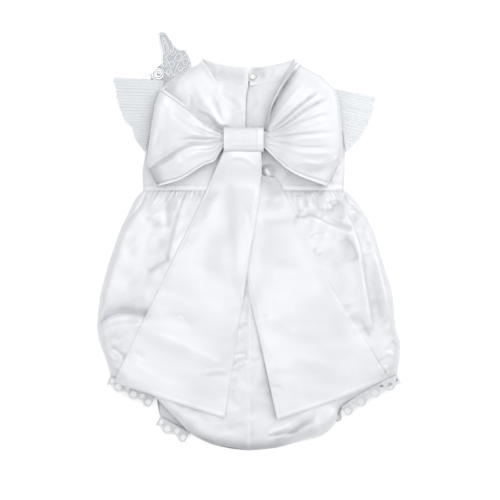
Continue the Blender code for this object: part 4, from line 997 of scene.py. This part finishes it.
bow = {
    "bottom": 7.2, "atKnot": 12.0, "knotHeight": 11.8, "height": 24.5, "foldRise": 3.0, "pleatDepth": 0.7,
    "finePleat": 0.35, "hem": 3.6, "hemRise": 0.6, "hemGroove": 0.7, "square": 0.38,
    "left": {
        "upper": ((-23.5, 62.0), (-28.5, 63), (-44.3, 70.5), (-69, 90.7), (-95, 110)),
        "fold": ((-98, 3.5), (-108.5, 24), (-109.6, 32), (-105.8, 65), (-101.5, 92), (-95, 110)),
        "lower": ((-23.5, 46.0), (-28.5, 44.5), (-36.7, 31), (-48.6, 26), (-64.8, 15.5), (-76, 9.5), (-98, 3.5)),
        "pleats": 5,
        "creases": (  # line, height, width on its left, width on its right, fade in, fade out
            (((-27, 59.2), (-45.4, 71.4), (-62.6, 86), (-73.4, 99)), -3.2, 1.6, 4.2, 0.04, 0.25),
            (((-27, 57.6), (-46, 66), (-64, 80), (-78, 94)), 1.0, 3.2, 2.4, 0.05, 0.4),
            (((-27, 56.4), (-46.4, 60.5), (-64, 68), (-80, 79), (-92, 90)), -1.2, 1.6, 2.6, 0.05, 0.35),
            (((-27, 55.4), (-50.8, 57), (-72, 63), (-93, 74)), 0.9, 2.2, 2.8, 0.05, 0.35),
            (((-27, 54.4), (-47.5, 53.6), (-66, 53.4), (-90, 52)), -1.5, 1.5, 2.6, 0.04, 0.4),
            (((-27, 53.4), (-45.4, 50.6), (-62.6, 48.2), (-75.6, 42), (-84.2, 34.6), (-95, 28), (-103.7, 21.6)),
             -2.8, 2.0, 4.6, 0.03, 0.2),
            (((-109, 28), (-95, 32.4), (-84.2, 38.9), (-73.4, 45.4), (-58, 50)), 2.2, 3.0, 3.4, 0.06, 0.4),
            (((-29, 48), (-46.4, 43), (-60, 37), (-70, 30)), 0.9, 4.5, 4.0, 0.1, 0.4),
            (((-72, 34), (-77, 25), (-84, 17)), 0.9, 4.5, 4.5, 0.3, 0.3),
            (((-105, 26), (-102, 16), (-97, 7)), -2.2, 5, 6, 0.15, 0.15),
            (((-96.1, 99.4), (-85.3, 86.4), (-81, 77.8)), 0.7, 5, 3, 0.2, 0.4),
            (((-94, 67), (-98.3, 56.2), (-102.6, 43.2)), -0.8, 4, 4, 0.3, 0.3),
        ),
        # painted shade in the two long creases and the turned-under lower corner, painted light on the upper and
        # lower lobes
        "paintedLightAndShade": (
            (((-30, 62), (-48, 73), (-64, 87), (-73, 97)), 0.45, 1.5, 4.0, 0.1, 0.2),
            (((-30, 53), (-48, 50), (-64, 47.5), (-77, 40.6), (-90, 31), (-101, 24)),
             0.34, 1.8, 5.5, 0.05, 0.15),
            (((-106, 24), (-100, 15), (-97.5, 5)), 0.9, 8, 9, 0.05, 0.02),
            (((-109, 24), (-97.5, 3)), 0.6, 1.5, 3, 0.02, 0.02),
            (((-62, 66), (-82, 84), (-94, 100)), -0.2, 12, 12, 0.2, 0.2),
            (((-80, 28), (-62, 34), (-44, 42)), -0.14, 7, 7, 0.3, 0.3),
        ),
    },
    "right": {
        "upper": ((12, 62.0), (17, 64), (24.5, 92), (33.5, 110), (41, 121), (52.5, 136)),
        "fold": ((84, 3.5), (92, 20), (99.5, 36), (100.8, 54), (98.3, 90), (92.9, 108), (76.7, 123), (52.5, 136)),
        "lower": ((12, 46.0), (17, 44.5), (24, 37.5), (32.4, 29.2), (41, 21.6), (55, 14), (84, 3.5)),
        "pleats": 8,
        "creases": (
            (((15, 62), (24.8, 87), (33.5, 104), (43.2, 120), (51, 131)), -5.0, 1.3, 3.6, 0.03, 0.12),
            (((18.4, 61.6), (33.5, 84.2), (48, 103), (62, 117)), 1.0, 2.0, 3.4, 0.05, 0.4),
            (((16.2, 60.4), (33.5, 71.3), (55, 90.7), (76.7, 107)), -1.6, 1.3, 1.0, 0.04, 0.2),
            (((16.2, 59.6), (35, 71), (57, 88.5), (78, 104.5)), 1.0, 1.0, 2.0, 0.05, 0.3),
            (((16.2, 58.8), (37.8, 69.1), (59.4, 84.2), (85.3, 99.4)), -1.5, 1.2, 1.0, 0.05, 0.2),
            (((16.2, 58.2), (39, 67.5), (62, 81.5), (87, 96)), 0.7, 1.0, 2.2, 0.05, 0.3),
            (((18, 57.4), (42, 66), (66, 75.6), (91.8, 84.2)), -0.9, 1.4, 1.1, 0.05, 0.3),
            (((18, 56.6), (43, 62), (68, 71), (93, 79)), 0.7, 1.2, 2.4, 0.05, 0.3),
            (((16.2, 55.6), (40, 57.4), (68, 60), (96, 62.6)), -1.1, 1.3, 1.2, 0.03, 0.4),
            (((16.2, 54.6), (42, 53.5), (70, 55), (96, 56)), 0.6, 1.3, 2.4, 0.05, 0.4),
            (((18, 53.4), (36, 49.5), (55, 45.4), (96, 45)), -0.9, 1.6, 2.0, 0.05, 0.4),
            (((17.5, 52), (40, 43), (62, 38.5), (97, 40)), 0.7, 1.8, 2.8, 0.05, 0.25),
            (((42, 26), (59.4, 29.2), (76.7, 28.1), (99, 35.6)), 1.5, 1.5, 5.0, 0.15, 0.08),
            (((56, 20), (72, 19), (88, 25)), -0.9, 5.0, 5.0, 0.3, 0.3),
            (((58.3, 107), (70.2, 111), (83.2, 107)), 0.4, 3, 3, 0.3, 0.3),
        ),
        # painted shade along the upper fold and the pleat lines, a little painted light on the outer part
        "paintedLightAndShade": (
            (((17, 66), (27, 90), (37, 106), (48, 122)), 0.5, 1.2, 4.2, 0.05, 0.15),
            (((58, 19), (74, 20), (92, 29)), 0.06, 7, 6, 0.2, 0.2),
            (((17, 60.4), (33.5, 71.3), (55, 90.7), (76.7, 107)), 0.2, 1.2, 0.9, 0.05, 0.1),
            (((17, 58.8), (37.8, 69.1), (59.4, 84.2), (85.3, 99.4)), 0.2, 1.2, 0.9, 0.05, 0.1),
            (((18, 57.4), (42, 66), (66, 75.6), (91.8, 84.2)), 0.14, 1.2, 0.9, 0.05, 0.1),
            (((17, 55.6), (40, 57.4), (68, 60), (96, 62.6)), 0.14, 1.2, 0.9, 0.05, 0.1),
            (((50, 100), (72, 84), (84, 60), (80, 44)), -0.12, 16, 16, 0.2, 0.2),
        ),
    },
}


def bowLoop(name, loop):
    along = np.concatenate([np.linspace(0, 0.5, 122), np.linspace(0.5, 1, 44)[1:]])
    turn, up = np.meshgrid(along, np.linspace(0, 1, 132), indexing="ij")
    angle = math.pi * (turn - 0.09 * np.sin(2 * math.pi * turn) / (2 * math.pi))
    out = (np.sin(angle) + np.sin(angle) ** 2) / 2
    knotEnd = (loop["lower"][0], loop["upper"][0])
    x, y = patch(out, up, loop["lower"], loop["upper"], knotEnd, loop["fold"])
    low = bow["atKnot"] + (bow["bottom"] - bow["atKnot"]) * soft(out / 0.3)
    low = low + bow["foldRise"] * soft((out - 0.8) / 0.2)
    puff = bow["knotHeight"] + (bow["height"] - bow["knotHeight"]) * soft(out / 0.55)
    puff = puff * np.abs(np.cos(angle)) ** bow["square"] * (0.8 + 0.2 * np.sin(math.pi * up))
    gathered = np.clip(1 - out, 0, 1) ** 1.7 * np.sin(math.pi * up).clip(0, 1) ** 0.5
    uneven = 0.6 * ripple(up * 40, out * 6, 51, 20)
    pleat = bow["pleatDepth"] * np.cos(2 * math.pi * loop["pleats"] * up + uneven) * gathered
    fine = bow["finePleat"] * np.cos(2 * math.pi * 2.7 * loop["pleats"] * up + 3 * out) * gathered ** 2
    over = turn < 0.5
    relief = creases(x, y, loop["creases"]) + 0.22 * ripple(x, y, 52, 44) + 0.05 * ripple(x, y, 53, 14)
    relief = relief * soft((1 - out) / 0.12) * soft(out / 0.06 + 0.2)
    edge = np.minimum(up, 1 - up) * math.dist(loop["upper"][-1], loop["lower"][-1])
    inset = bow["hem"] * soft(out * 2) + 0.4 - edge * soft(out * 1.6)  # from the hem's stitching out
    groove = np.exp(-(inset / 0.8) ** 2)
    hem = bow["hemRise"] * soft(inset / 0.9) - bow["hemGroove"] * groove * soft(out * 3)
    z = np.where(over, low + puff + pleat * 0.6 + fine + relief + hem, low + np.maximum(0, pleat) * 0.4)
    # painted shade in the creases, pleats and the loop's rows; painted light on the face inside the hem and painted
    # shade in the hem's groove
    dark = (paintedCreaseShade(relief + fine) + creases(x, y, loop["paintedLightAndShade"])) * over * soft(out / 0.1)
    dark = dark - 0.2 * over * soft((inset - 0.6) / 0.8) + 0.3 * over * groove
    return buildSheet(name, x, y, z, finishes["bowSatin"], facing="out", shade=dark)


loopLeft = bowLoop("bowLoopLeft", bow["left"])
loopRight = bowLoop("bowLoopRight", bow["right"])
dress(["bow_loop_left"])
dress(["bow_loop_right"])

knot = {
    "ends": (-27.0, 15.7), "middle": (53.5, 16.8), "half": (13.5, 8.6), "square": (0.55, 0.5),
    "creases": (
        (((-27, 51.8), (-6.5, 51.2), (16.2, 51.8)), -0.5, 1.6, 1.4, 0.02, 0.02),
        (((-27, 46.6), (-6.5, 45.6), (16.2, 46)), -0.3, 1.4, 1.6, 0.02, 0.02),
        (((-13, 64.8), (-14, 52.9)), 0.2, 1.5, 1.5, 0.3, 0.3),
        (((-22.7, 58.3), (-9.7, 60.5), (7.6, 57.2)), 0.25, 2.5, 3, 0.2, 0.2),
        (((9.2, 67), (9.2, 40)), 0.3, 4.5, 0.9, 0.02, 0.02),
    ),
    # painted shade along the lower part, painted light at both ends
    "paintedLightAndShade": (
        (((-27, 44.5), (16, 44.5)), 0.16, 4.5, 4, 0.02, 0.02),
        (((12, 66), (12, 41)), -0.15, 3, 2.4, 0.02, 0.02),
        (((-25, 66), (-25, 41)), -0.1, 2, 2, 0.02, 0.02),
    ),
}


def bowKnot():
    turn, share = np.meshgrid(np.arange(150) / 150, np.linspace(0, 1, 50), indexing="ij")
    along, over = np.cos(2 * math.pi * turn), np.sin(2 * math.pi * turn)
    x = knot["ends"][0] + (knot["ends"][1] - knot["ends"][0]) * share
    size = 0.96 + 0.04 * np.sin(math.pi * share)
    y = knot["middle"][0] + knot["half"][0] * np.copysign(np.abs(along) ** knot["square"][0], along)
    z = knot["middle"][1] + knot["half"][1] * size * np.copysign(np.abs(over) ** knot["square"][1], over)
    top = soft(over * 1.6)
    relief = top * (creases(x, y, knot["creases"]) + 0.1 * ripple(x, y, 55, 14, 0.0, 2.0))
    # painted shade in the creases plus the knot's rows of painted light and shade, on its top only
    shade = paintedCreaseShade(relief) + creases(x, y, knot["paintedLightAndShade"]) * top
    return buildSheet("bowKnot", x, y, z + relief, finishes["bowSatin"], facing="out", loop=True, shade=shade)


knotBand = bowKnot()
dress(["bow_knot"])

print("pleating the sleeves")

sleeve = {
    "rootLeft": ((-91.5, 121.0), (-96.9, 97), (-102.3, 76), (-108.8, 54), (-112.6, 42)),
    "edgeLeft": ((-144.6, 124.3), (-146.4, 119.5), (-142.6, 99), (-134.4, 76),
                 (-125.8, 66), (-124, 57), (-114.5, 44)),
    "rootRight": ((88.8, 112.6), (94, 97), (98.9, 76), (102.9, 54), (104.9, 42)),
    "edgeRight": ((137, 103), (134, 85), (126, 66), (119, 55), (108.4, 44)),
    "over": 5.2, "under": 0.2, "slope": 2.4, "fold": 0.03, "pleats": 26, "depth": 0.2, "edgeWave": 0.0216,
    "overShare": 0.62, "turnShare": 0.012, "thick": 0.25,
}


def sleeveRuffle(name, root, edge, seed, paintedSleeveShade):  # one strip: from the underarm up to the fold and back beneath
    share, fold = sleeve["overShare"], sleeve["fold"]
    turn, out = grid(560, 18)
    over = turn < share
    arm = np.where(over, 1 - (1 - fold) * turn / share, fold + (1 - fold) * (turn - share) / (1 - share))
    uneven = 0.9 * ripple(arm * 100, 0 * arm, seed, 16)
    wave = np.cos(2 * math.pi * sleeve["pleats"] * arm + uneven)
    sharp = np.copysign(np.abs(wave) ** 0.75, wave)
    broad = 0.7 * ripple(arm * 100, out * 12, seed + 1, 19)
    pleat = sleeve["depth"] * sharp * soft(out * 3 + 0.35)
    z = np.where(over, sleeve["over"] - sleeve["slope"] * out + pleat + broad * out * 0.6,
                 sleeve["under"] + (sleeve["depth"] + pleat) * 0.5 + 0.1)
    turnover = soft(np.abs(turn - share) / sleeve["turnShare"])
    z = z * turnover + (sleeve["over"] + sleeve["under"]) / 2 * (1 - turnover)
    inner, outer = path(root, arm, 1.0), path(edge, arm, 0.8)
    reach = out * (1 + sleeve["edgeWave"] * (sharp + 0.8 * ripple(arm * 100, 0 * arm, seed + 2, 9)) * out)
    x = inner[..., 0] + (outer[..., 0] - inner[..., 0]) * reach
    y = inner[..., 1] + (outer[..., 1] - inner[..., 1]) * reach
    # painted shade and light: the whole left sleeve darker and the right one paler, pleat crests paler and troughs
    # darker, darker near the root
    shade = paintedSleeveShade - 0.25 * sharp * soft(out * 3) + 0.5 * soft(1 - out / 0.15)
    return buildSheet(name, x, y, np.maximum(z, 0.05), finishes["tulle"], sleeve["thick"], "out", shade=shade)


puffLeft = sleeveRuffle("sleeveLeft", sleeve["rootLeft"], sleeve["edgeLeft"], 71, 0.35)
puffRight = sleeveRuffle("sleeveRight", sleeve["rootRight"], sleeve["edgeRight"], 81, -0.2)
dress(["sleeve_left"])
dress(["sleeve_right"])

print("working the lace")

lace = {
    "depth": 13.5, "scallop": 4.0, "gap": 0.2, "thick": 0.5, "filled": 0.66,
    "cord": 0.252, "cordRise": 0.1, "holeRim": 0.3, "flower": 0.9, "petals": 5, "picots": (0.17, 0.5, 0.83),
    "holes": ((2.2, 4.7), (2.8, 7.5)),  # radius, and distance from the hem, in turn
    "back": {"heights": bloomer["backHem"], "rise": 0, "droop": 1.0, "wave": 0.8, "held": "gathered"},
    "front": {"heights": bloomer["frontHem"], "rise": 1.2, "droop": 0, "wave": 0, "held": "laid"},
}


def laceEdge(name, node, hem, repeats, layer):
    cells, side = repeats * 2, 1 if hem[0][0] < 0 else -1
    hem = np.array(hem, float)
    width = np.hypot(*np.diff(hem, axis=0).T).sum() / cells

    def depth(along):
        return lace["depth"] - lace["scallop"] * (0.5 + 0.5 * np.cos(math.pi * (along - 0.5)))

    def point(along, out, lift=0.0):
        along, out = np.broadcast_arrays(np.asarray(along, float), np.asarray(out, float))
        at = path(hem, along / cells)
        run = path(hem, along / cells + 0.06) - path(hem, along / cells - 0.06)
        run = run / np.hypot(run[..., 0], run[..., 1])[..., None]
        x = at[..., 0] + side * run[..., 1] * (out + lace["gap"])
        y = at[..., 1] - side * run[..., 0] * (out + lace["gap"])
        fall = layer["droop"] * soft(along / 2) * soft((cells - along) / 2) * out / lace["depth"]
        wave = layer["wave"] * np.sin(math.pi * along) * out / lace["depth"]
        z = readTable(layer["heights"], at[..., 0], 1) + layer["rise"] - fall + wave + lift
        return np.stack([x, y, np.maximum(z, 0.6)], -1)

    def ringPoint(cell, centre, reach, turn, lift=0.0):
        return point(cell + 0.5 + reach * np.cos(turn) / width, centre + reach * np.sin(turn), lift)

    mesh, shape = bpy.data.meshes.new(name), bmesh.new()
    per = 6  # points along each side of a cell
    step = np.arange(per) / per
    for cell in range(cells):  # a square of cloth round each hole
        radius, centre = lace["holes"][cell % 2]
        along = np.concatenate([cell + step, np.full(per, cell + 1), cell + 1 - step, np.full(per, cell)])
        out = np.concatenate([0 * step, depth(cell + 1) * step, depth(cell + 1 - step), depth(cell) * (1 - step)])
        angle = -0.75 * math.pi + 2 * math.pi * np.arange(4 * per) / (4 * per)
        ring = (cell + 0.5 + radius * np.cos(angle) / width, centre + radius * np.sin(angle))
        rings = [point(along, out), point((along + 2 * ring[0]) / 3, (out + 2 * ring[1]) / 3), point(*ring)]
        rings = [[shape.verts.new(place * mm + np.array((0, waistUp * mm, 0))) for place in one] for one in rings]
        for outer, inner in zip(rings, rings[1:]):
            for k in range(4 * per):
                after = (k + 1) % (4 * per)
                shape.faces.new((outer[k], outer[after], inner[after], inner[k]))
    bmesh.ops.remove_doubles(shape, verts=shape.verts[:], dist=0.02 * mm)
    bmesh.ops.recalc_face_normals(shape, faces=shape.faces[:])
    if sum(face.normal.z for face in shape.faces) < 0:
        bmesh.ops.reverse_faces(shape, faces=shape.faces[:])
    shape.to_mesh(mesh)
    shape.free()
    strip = addPiece(name, mesh, finishes["laceCloth"], lace["thick"])
    full = np.linspace(0.02, cells - 0.02, cells * 14)
    lines = [point(full, out, lace["cordRise"]) for out in (0.6, 2.0)]
    lines += [point(full, depth(full) - back, lace["cordRise"]) for back in (0.5, 2.1)]
    ring = np.linspace(0, 2 * math.pi, 22)
    for cell in range(cells):
        radius, centre = lace["holes"][cell % 2]
        lines.append(ringPoint(cell, centre, radius + lace["holeRim"], ring, 0.12))
        if cell % 2:  # a small flower in every second hole
            lines.append(ringPoint(cell, centre, lace["flower"], ring[::2]))
            for turn in np.arange(lace["petals"]) * 2 * math.pi / lace["petals"] + 0.3:
                lines.append(ringPoint(cell, centre, np.array((lace["flower"], 2 * lace["flower"], radius)), turn))
        for shift in lace["picots"]:
            top = depth(cell + shift)
            loop = np.linspace(-0.2, math.pi + 0.2, 8)
            lines.append(point(cell + shift + 0.75 * np.cos(loop) / width, top - 0.2 + 0.8 * np.sin(loop)))
    cords = addTubes(name + "Cords", lines, lace["cord"], finishes["laceCord"], sides=5)
    dress([node])


for name, node, hem, repeats, layer in (
    ("legLaceBackLeft", "leg_lace_back_left", bloomer["hemLeft"][:3], 3, "back"),
    ("legLaceBackRight", "leg_lace_back_right", bloomer["hemRight"][:3], 4, "back"),
    ("legLaceFrontLeft", "leg_lace_front_left", bloomer["frontHemLeft"][3:5], 2, "front"),
    ("legLaceFrontRight", "leg_lace_front_right", bloomer["frontHemRight"][:4], 5, "front"),
):
    laceEdge(name, node, hem, repeats, lace[layer])

applique = {
    "outline": ((-63.2, 132), (-62.2, 138.5), (-66, 147), (-69, 152.6), (-77, 153.5), (-85.3, 164), (-90.7, 171.5),
                (-98, 171), (-96.6, 160), (-94.4, 148), (-95.5, 136), (-103, 131), (-107.5, 124), (-104, 116.4),
                (-97, 115), (-89.8, 113.6), (-76, 123.6)),
    "top": 1.5, "thick": 0.5, "cord": 0.42, "cordTop": 1.65, "rims": (0.015, 0.075),
    "veins": (  # raised cords worked over the net
        ((-93.4, 166.3), (-89.1, 159.8), (-86.9, 151.2),
         (-89.6, 145.3), (-93.1, 149), (-94.4, 157.7), (-93.4, 166.3)),
        ((-91.8, 161.5), (-89.6, 156.6), (-89, 151.2),
         (-90.7, 148.5), (-92.2, 152.3), (-92.7, 157.7), (-91.8, 161.5)),
        ((-83.2, 123.1), (-85.3, 133.9), (-89.6, 142.6), (-91.8, 146.9)),
        ((-82.1, 124.2), (-77.8, 135), (-71.3, 144.7), (-67, 150.1)),
        ((-81.5, 124.2), (-73.4, 130.7), (-64.8, 136.1)),
        ((-85.3, 123.1), (-92.9, 129.6), (-95.6, 137.2)),
        ((-79.9, 144.7), (-76.7, 149), (-73.4, 146.9),
         (-74.5, 142), (-78.3, 140.4), (-81, 142.6), (-79.9, 144.7)),
        ((-72.4, 140.4), (-69.1, 143.1), (-65.9, 140.9), (-67, 137.2), (-70.7, 136.6), (-72.4, 140.4)),
        ((-86.4, 138.2), (-83.2, 140.4), (-81, 137.2), (-82.6, 133.9), (-85.9, 134.5), (-86.4, 138.2)),
        ((-92.9, 140.4), (-90.2, 139.3), (-89.6, 135.5), (-92.3, 134.5), (-94, 137.2), (-92.9, 140.4)),
        ((-85.3, 162), (-82.1, 155.5), (-83.2, 150.1), (-85.3, 153.4)),
        ((-78.8, 151.7), (-81, 148), (-84.2, 146.3), (-85.3, 150.1)),
        ((-75.6, 133.9), (-72.4, 133.4), (-72.4, 130.1), (-75.6, 129.6), (-76.7, 131.8), (-75.6, 133.9)),
        ((-89.6, 129.6), (-87.5, 130.7), (-85.3, 128.5), (-86.9, 126.4), (-89.6, 126.9), (-89.6, 129.6)),
    ),
    "rosette": {"place": (-98.5, 125.8), "turns": 2.7, "spread": 5.6, "height": 3.2, "bottom": 3.0, "thick": 0.3},
    "leaf": {"place": (-110.4, 122.5), "half": (4.6, 2.4), "top": 2.7, "rimTop": 2.8, "veinTop": 2.85, "cord": 0.4},
}


def closedPath(points, count):
    return path((*points, points[0]), np.linspace(0, 1, count), 0.7)


def atHeight(line, height):
    return np.column_stack([line, np.full(len(line), height)])


def flatPiece(name, outline, top, finish):
    mesh, shape = bpy.data.meshes.new(name), bmesh.new()
    corners = [shape.verts.new((px * mm, (py + waistUp) * mm, top * mm)) for px, py in outline]
    face = shape.faces.new(corners)
    around = sum(a.co.x * b.co.y - b.co.x * a.co.y for a, b in zip(corners, corners[1:] + corners[:1]))
    if face.normal.z < 0 or around < 0:
        bmesh.ops.reverse_faces(shape, faces=[face])
    bmesh.ops.triangulate(shape, faces=shape.faces[:])
    shape.to_mesh(mesh)
    shape.free()
    return addPiece(name, mesh, finish, applique["thick"])


wing = flatPiece("laceWing", closedPath(applique["outline"], 120)[:-1], applique["top"], finishes["laceNet"])
edge = closedPath(applique["outline"], 160)
wingLines = [edge + (edge[:-1].mean(0) - edge) * inset for inset in applique["rims"]]
wingLines += [path(line, np.linspace(0, 1, 26), 1.0) for line in applique["veins"]]
wingLines = [atHeight(line, applique["cordTop"]) for line in wingLines]
wingCords = addTubes("laceWingCords", wingLines, applique["cord"], finishes["laceCord"])
dress(["applique_wing"])


def rosettePetals(rose):
    turn, up = grid(220, 12)
    angle = 2 * math.pi * rose["turns"] * turn
    petal = 0.5 + 0.5 * np.cos(angle * 1.7)
    radius = 0.3 + rose["spread"] * turn + (1.5 + 0.5 * petal) * up
    x = rose["place"][0] + radius * np.cos(angle)
    y = rose["place"][1] + radius * np.sin(angle)
    z = rose["bottom"] + rose["height"] * (1 - 0.8 * turn) - 0.9 * (1 - up) ** 2.4 + 0.2 * petal
    z = z - 0.5 * soft((up - 0.85) / 0.15)
    # painted light: each turn of the ribbon paler towards its upper edge
    return buildSheet("roseCoil", x, y, z, finishes["roseSatinPaintedLight"], rose["thick"], shade=-0.3 * up)


coil = rosettePetals(applique["rosette"])
dress(["applique_rosette"])

leafLook = applique["leaf"]
(leafX, leafY), (halfX, halfY) = leafLook["place"], leafLook["half"]
turns = np.linspace(0, 2 * math.pi, 37)
leafLine = np.column_stack([leafX + halfX * np.cos(turns), leafY + halfY * np.sin(turns)])
leaf = flatPiece("laceLeaf", leafLine[:-1], leafLook["top"], finishes["laceCord"])
vein = np.array([(leafX + side * halfX * 0.9, leafY) for side in (-1, 0, 1)])
leafLines = [atHeight(leafLine, leafLook["rimTop"]), atHeight(vein, leafLook["veinTop"])]
leafCords = addTubes("laceLeafCords", leafLines, leafLook["cord"], finishes["laceCord"])
dress(["applique_leaf"])

print("sewing on the button")

button = {
    "place": (4.3, 122.6), "bottom": 6.9,
    # radius and height of the turned profile, from the middle of the face to the middle of the back
    "profile": ((0, 2.0), (1.2, 2.02), (1.9, 2.15), (2.35, 2.5), (2.75, 2.6), (3.1, 2.4), (3.3, 1.8), (3.25, 1.0),
                (2.9, 0.3), (2.2, 0.05), (0, 0)),
    "loopRadius": 4.15, "loopShare": 0.86, "loopRoot": (5.4, 1.4), "loopHeight": 7.45, "ply": 0.33, "twist": 0.22,
}


def turnedButton():
    sides = 48
    profile = path(button["profile"], np.linspace(0, 1, 40), 0.8)
    turn = np.linspace(0, 2 * math.pi, sides, endpoint=False)
    points = [(0, 0, profile[0, 1])]
    for radius, height in profile[1:-1]:
        points.extend((radius * math.cos(a), radius * math.sin(a), height) for a in turn)
    points.append((0, 0, profile[-1, 1]))
    faces = [(0, 1 + k, 1 + (k + 1) % sides) for k in range(sides)]
    for ring in range(len(profile) - 3):
        low = 1 + ring * sides
        for k in range(sides):
            after = (k + 1) % sides
            faces.append((low + k, low + sides + k, low + sides + after, low + after))
    last, low = len(points) - 1, 1 + (len(profile) - 3) * sides
    faces.extend((last, low + (k + 1) % sides, low + k) for k in range(sides))
    points = (np.array(points) + (*button["place"], button["bottom"]) + np.array((0, waistUp, 0))) * mm
    mesh = bpy.data.meshes.new("pearlButton")
    mesh.from_pydata(points.tolist(), [], faces)
    return addPiece("pearlButton", mesh, finishes["pearl"])


pearl = turnedButton()
dress(["button"])
turns = math.pi * button["loopShare"] * (1 - 2 * np.linspace(0, 1, 40))  # round the button, open at its left
rootX, rootY = button["loopRoot"]
loopLine = [(-rootX, rootY), *zip(button["loopRadius"] * np.cos(turns), button["loopRadius"] * np.sin(turns)),
            (-rootX, -rootY)]
loopLine = path(np.array(loopLine) + button["place"], np.linspace(0, 1, 110), 0.8)
plies = []
for phase in (0, 2 * math.pi / 3, 4 * math.pi / 3):  # three plies twisted together
    twist = np.linspace(0, 26, len(loopLine)) + phase
    plies.append(np.column_stack([loopLine[:, 0], loopLine[:, 1] + button["twist"] * np.cos(twist),
                                  button["loopHeight"] + button["twist"] * np.sin(twist)]))
buttonLoop = addTubes("buttonLoop", plies, button["ply"], finishes["sewing"])
dress(["button_loop"])

print("sewing the seams")


def heightOn(surface, x, y):  # the height of a piece's own points nearest to this place
    sx, sy, sz = (values.ravel() for values in surface)
    distance = (sx - x) ** 2 + (sy - y) ** 2
    nearest = np.argpartition(distance, 4)[:4]
    weight = 1 / (distance[nearest] + 0.01)
    return float((sz[nearest] * weight).sum() / weight.sum())


stitch = {"pitch": 2.6, "share": 0.62, "radius": 0.16, "lift": (-0.1, 0.1, -0.1), "fromEdge": 3.9}


def stitches(name, hem, surface):
    line = insetLine(hem, stitch["fromEdge"])
    length = np.hypot(*np.diff(line, axis=0).T).sum()
    pitch, half = stitch["pitch"], stitch["share"] / 2
    made = []
    for k in range(int(length / pitch)):
        start, end = (k + 0.5 - half) * pitch / length, (k + 0.5 + half) * pitch / length
        found = path(line, np.array((start, (start + end) / 2, end)))
        made.append([(px, py, heightOn(surface, px, py) + up) for (px, py), up in zip(found, stitch["lift"])])
    addTubes(name, made, stitch["radius"], finishes["sewing"], sides=5)


def insetLine(line, inset):  # a line moved to its left, without its last ends
    found = path(line, np.linspace(0.02, 0.98, 60))
    run = np.gradient(found, axis=0)
    run /= np.hypot(run[:, 0], run[:, 1])[:, None]
    return found + np.column_stack([-run[:, 1], run[:, 0]]) * inset


stitches("sashLeftHemStitches", sash["left"]["hem"], leftCloth)
stitches("sashRightHemStitches", sash["right"]["hem"][:4], rightCloth)

print("setting the studio")

floorMesh = bpy.data.meshes.new("floor")
floorMesh.from_pydata([(x, y, -0.0004) for x, y in ((-4, -4), (4, -4), (4, 4), (-4, 4))], [], [(0, 1, 2, 3)])
floor = bpy.data.objects.new("floor", floorMesh)
bpy.context.scene.collection.objects.link(floor)
floorMesh.materials.append(finishes["floor"])

studio = {
    "frame": 0.540, "aim": (0.0011, -0.0092, 0.010), "distance": 1.7,
    "sky": ((0.0, 0.45), (0.25, 0.70), (0.6, 0.98), (1.0, 1.12)), "skyStrength": 0.755,
    "lights": (  # name, place, size, watts; each points at the garment's middle
        ("keyLight", (1.4, 1.35, 2.0), 2.2, 30),
        ("topLight", (0.1, 0.1, 1.9), 1.2, 5.5),
        ("fillLight", (-1.0, -0.8, 1.2), 1.4, 4.5),
    ),
}
scene = bpy.context.scene
scene.view_settings.view_transform = "Standard"
scene.view_settings.look = "None"
world = bpy.data.worlds.new("studio")
scene.world = world
world.use_nodes = True
sky = world.node_tree.nodes["Background"]
sky.inputs["Strength"].default_value = studio["skyStrength"]
place = world.node_tree.nodes.new("ShaderNodeTexCoord")
split = world.node_tree.nodes.new("ShaderNodeSeparateXYZ")
ramp = world.node_tree.nodes.new("ShaderNodeValToRGB")
while len(ramp.color_ramp.elements) < len(studio["sky"]):
    ramp.color_ramp.elements.new(0.5)
for stop, (height, bright) in zip(ramp.color_ramp.elements, studio["sky"]):
    stop.position, stop.color = height, (bright, bright, bright, 1)
world.node_tree.links.new(place.outputs["Generated"], split.inputs[0])
world.node_tree.links.new(split.outputs["Z"], ramp.inputs[0])
world.node_tree.links.new(ramp.outputs[0], sky.inputs["Color"])


for name, at, size, watts in studio["lights"]:
    light = bpy.data.lights.new(name, "AREA")
    light.shape, light.size, light.energy = "DISK", size, watts
    lamp = bpy.data.objects.new(name, light)
    lamp.location = at
    x, y, z = lamp.location
    lamp.rotation_euler = (math.atan2(math.hypot(x, y), z), 0, math.atan2(-y, -x) - math.pi / 2)
    scene.collection.objects.link(lamp)

cameraData = bpy.data.cameras.new("camera")
camera = bpy.data.objects.new("camera", cameraData)
scene.collection.objects.link(camera)
camera.location = (studio["aim"][0], studio["aim"][1], studio["aim"][2] + studio["distance"])
cameraData.sensor_width = 36
cameraData.lens = 36 * studio["distance"] / studio["frame"]
cameraData.clip_start, cameraData.clip_end = 0.1, 20
scene.camera = camera

print("finished")
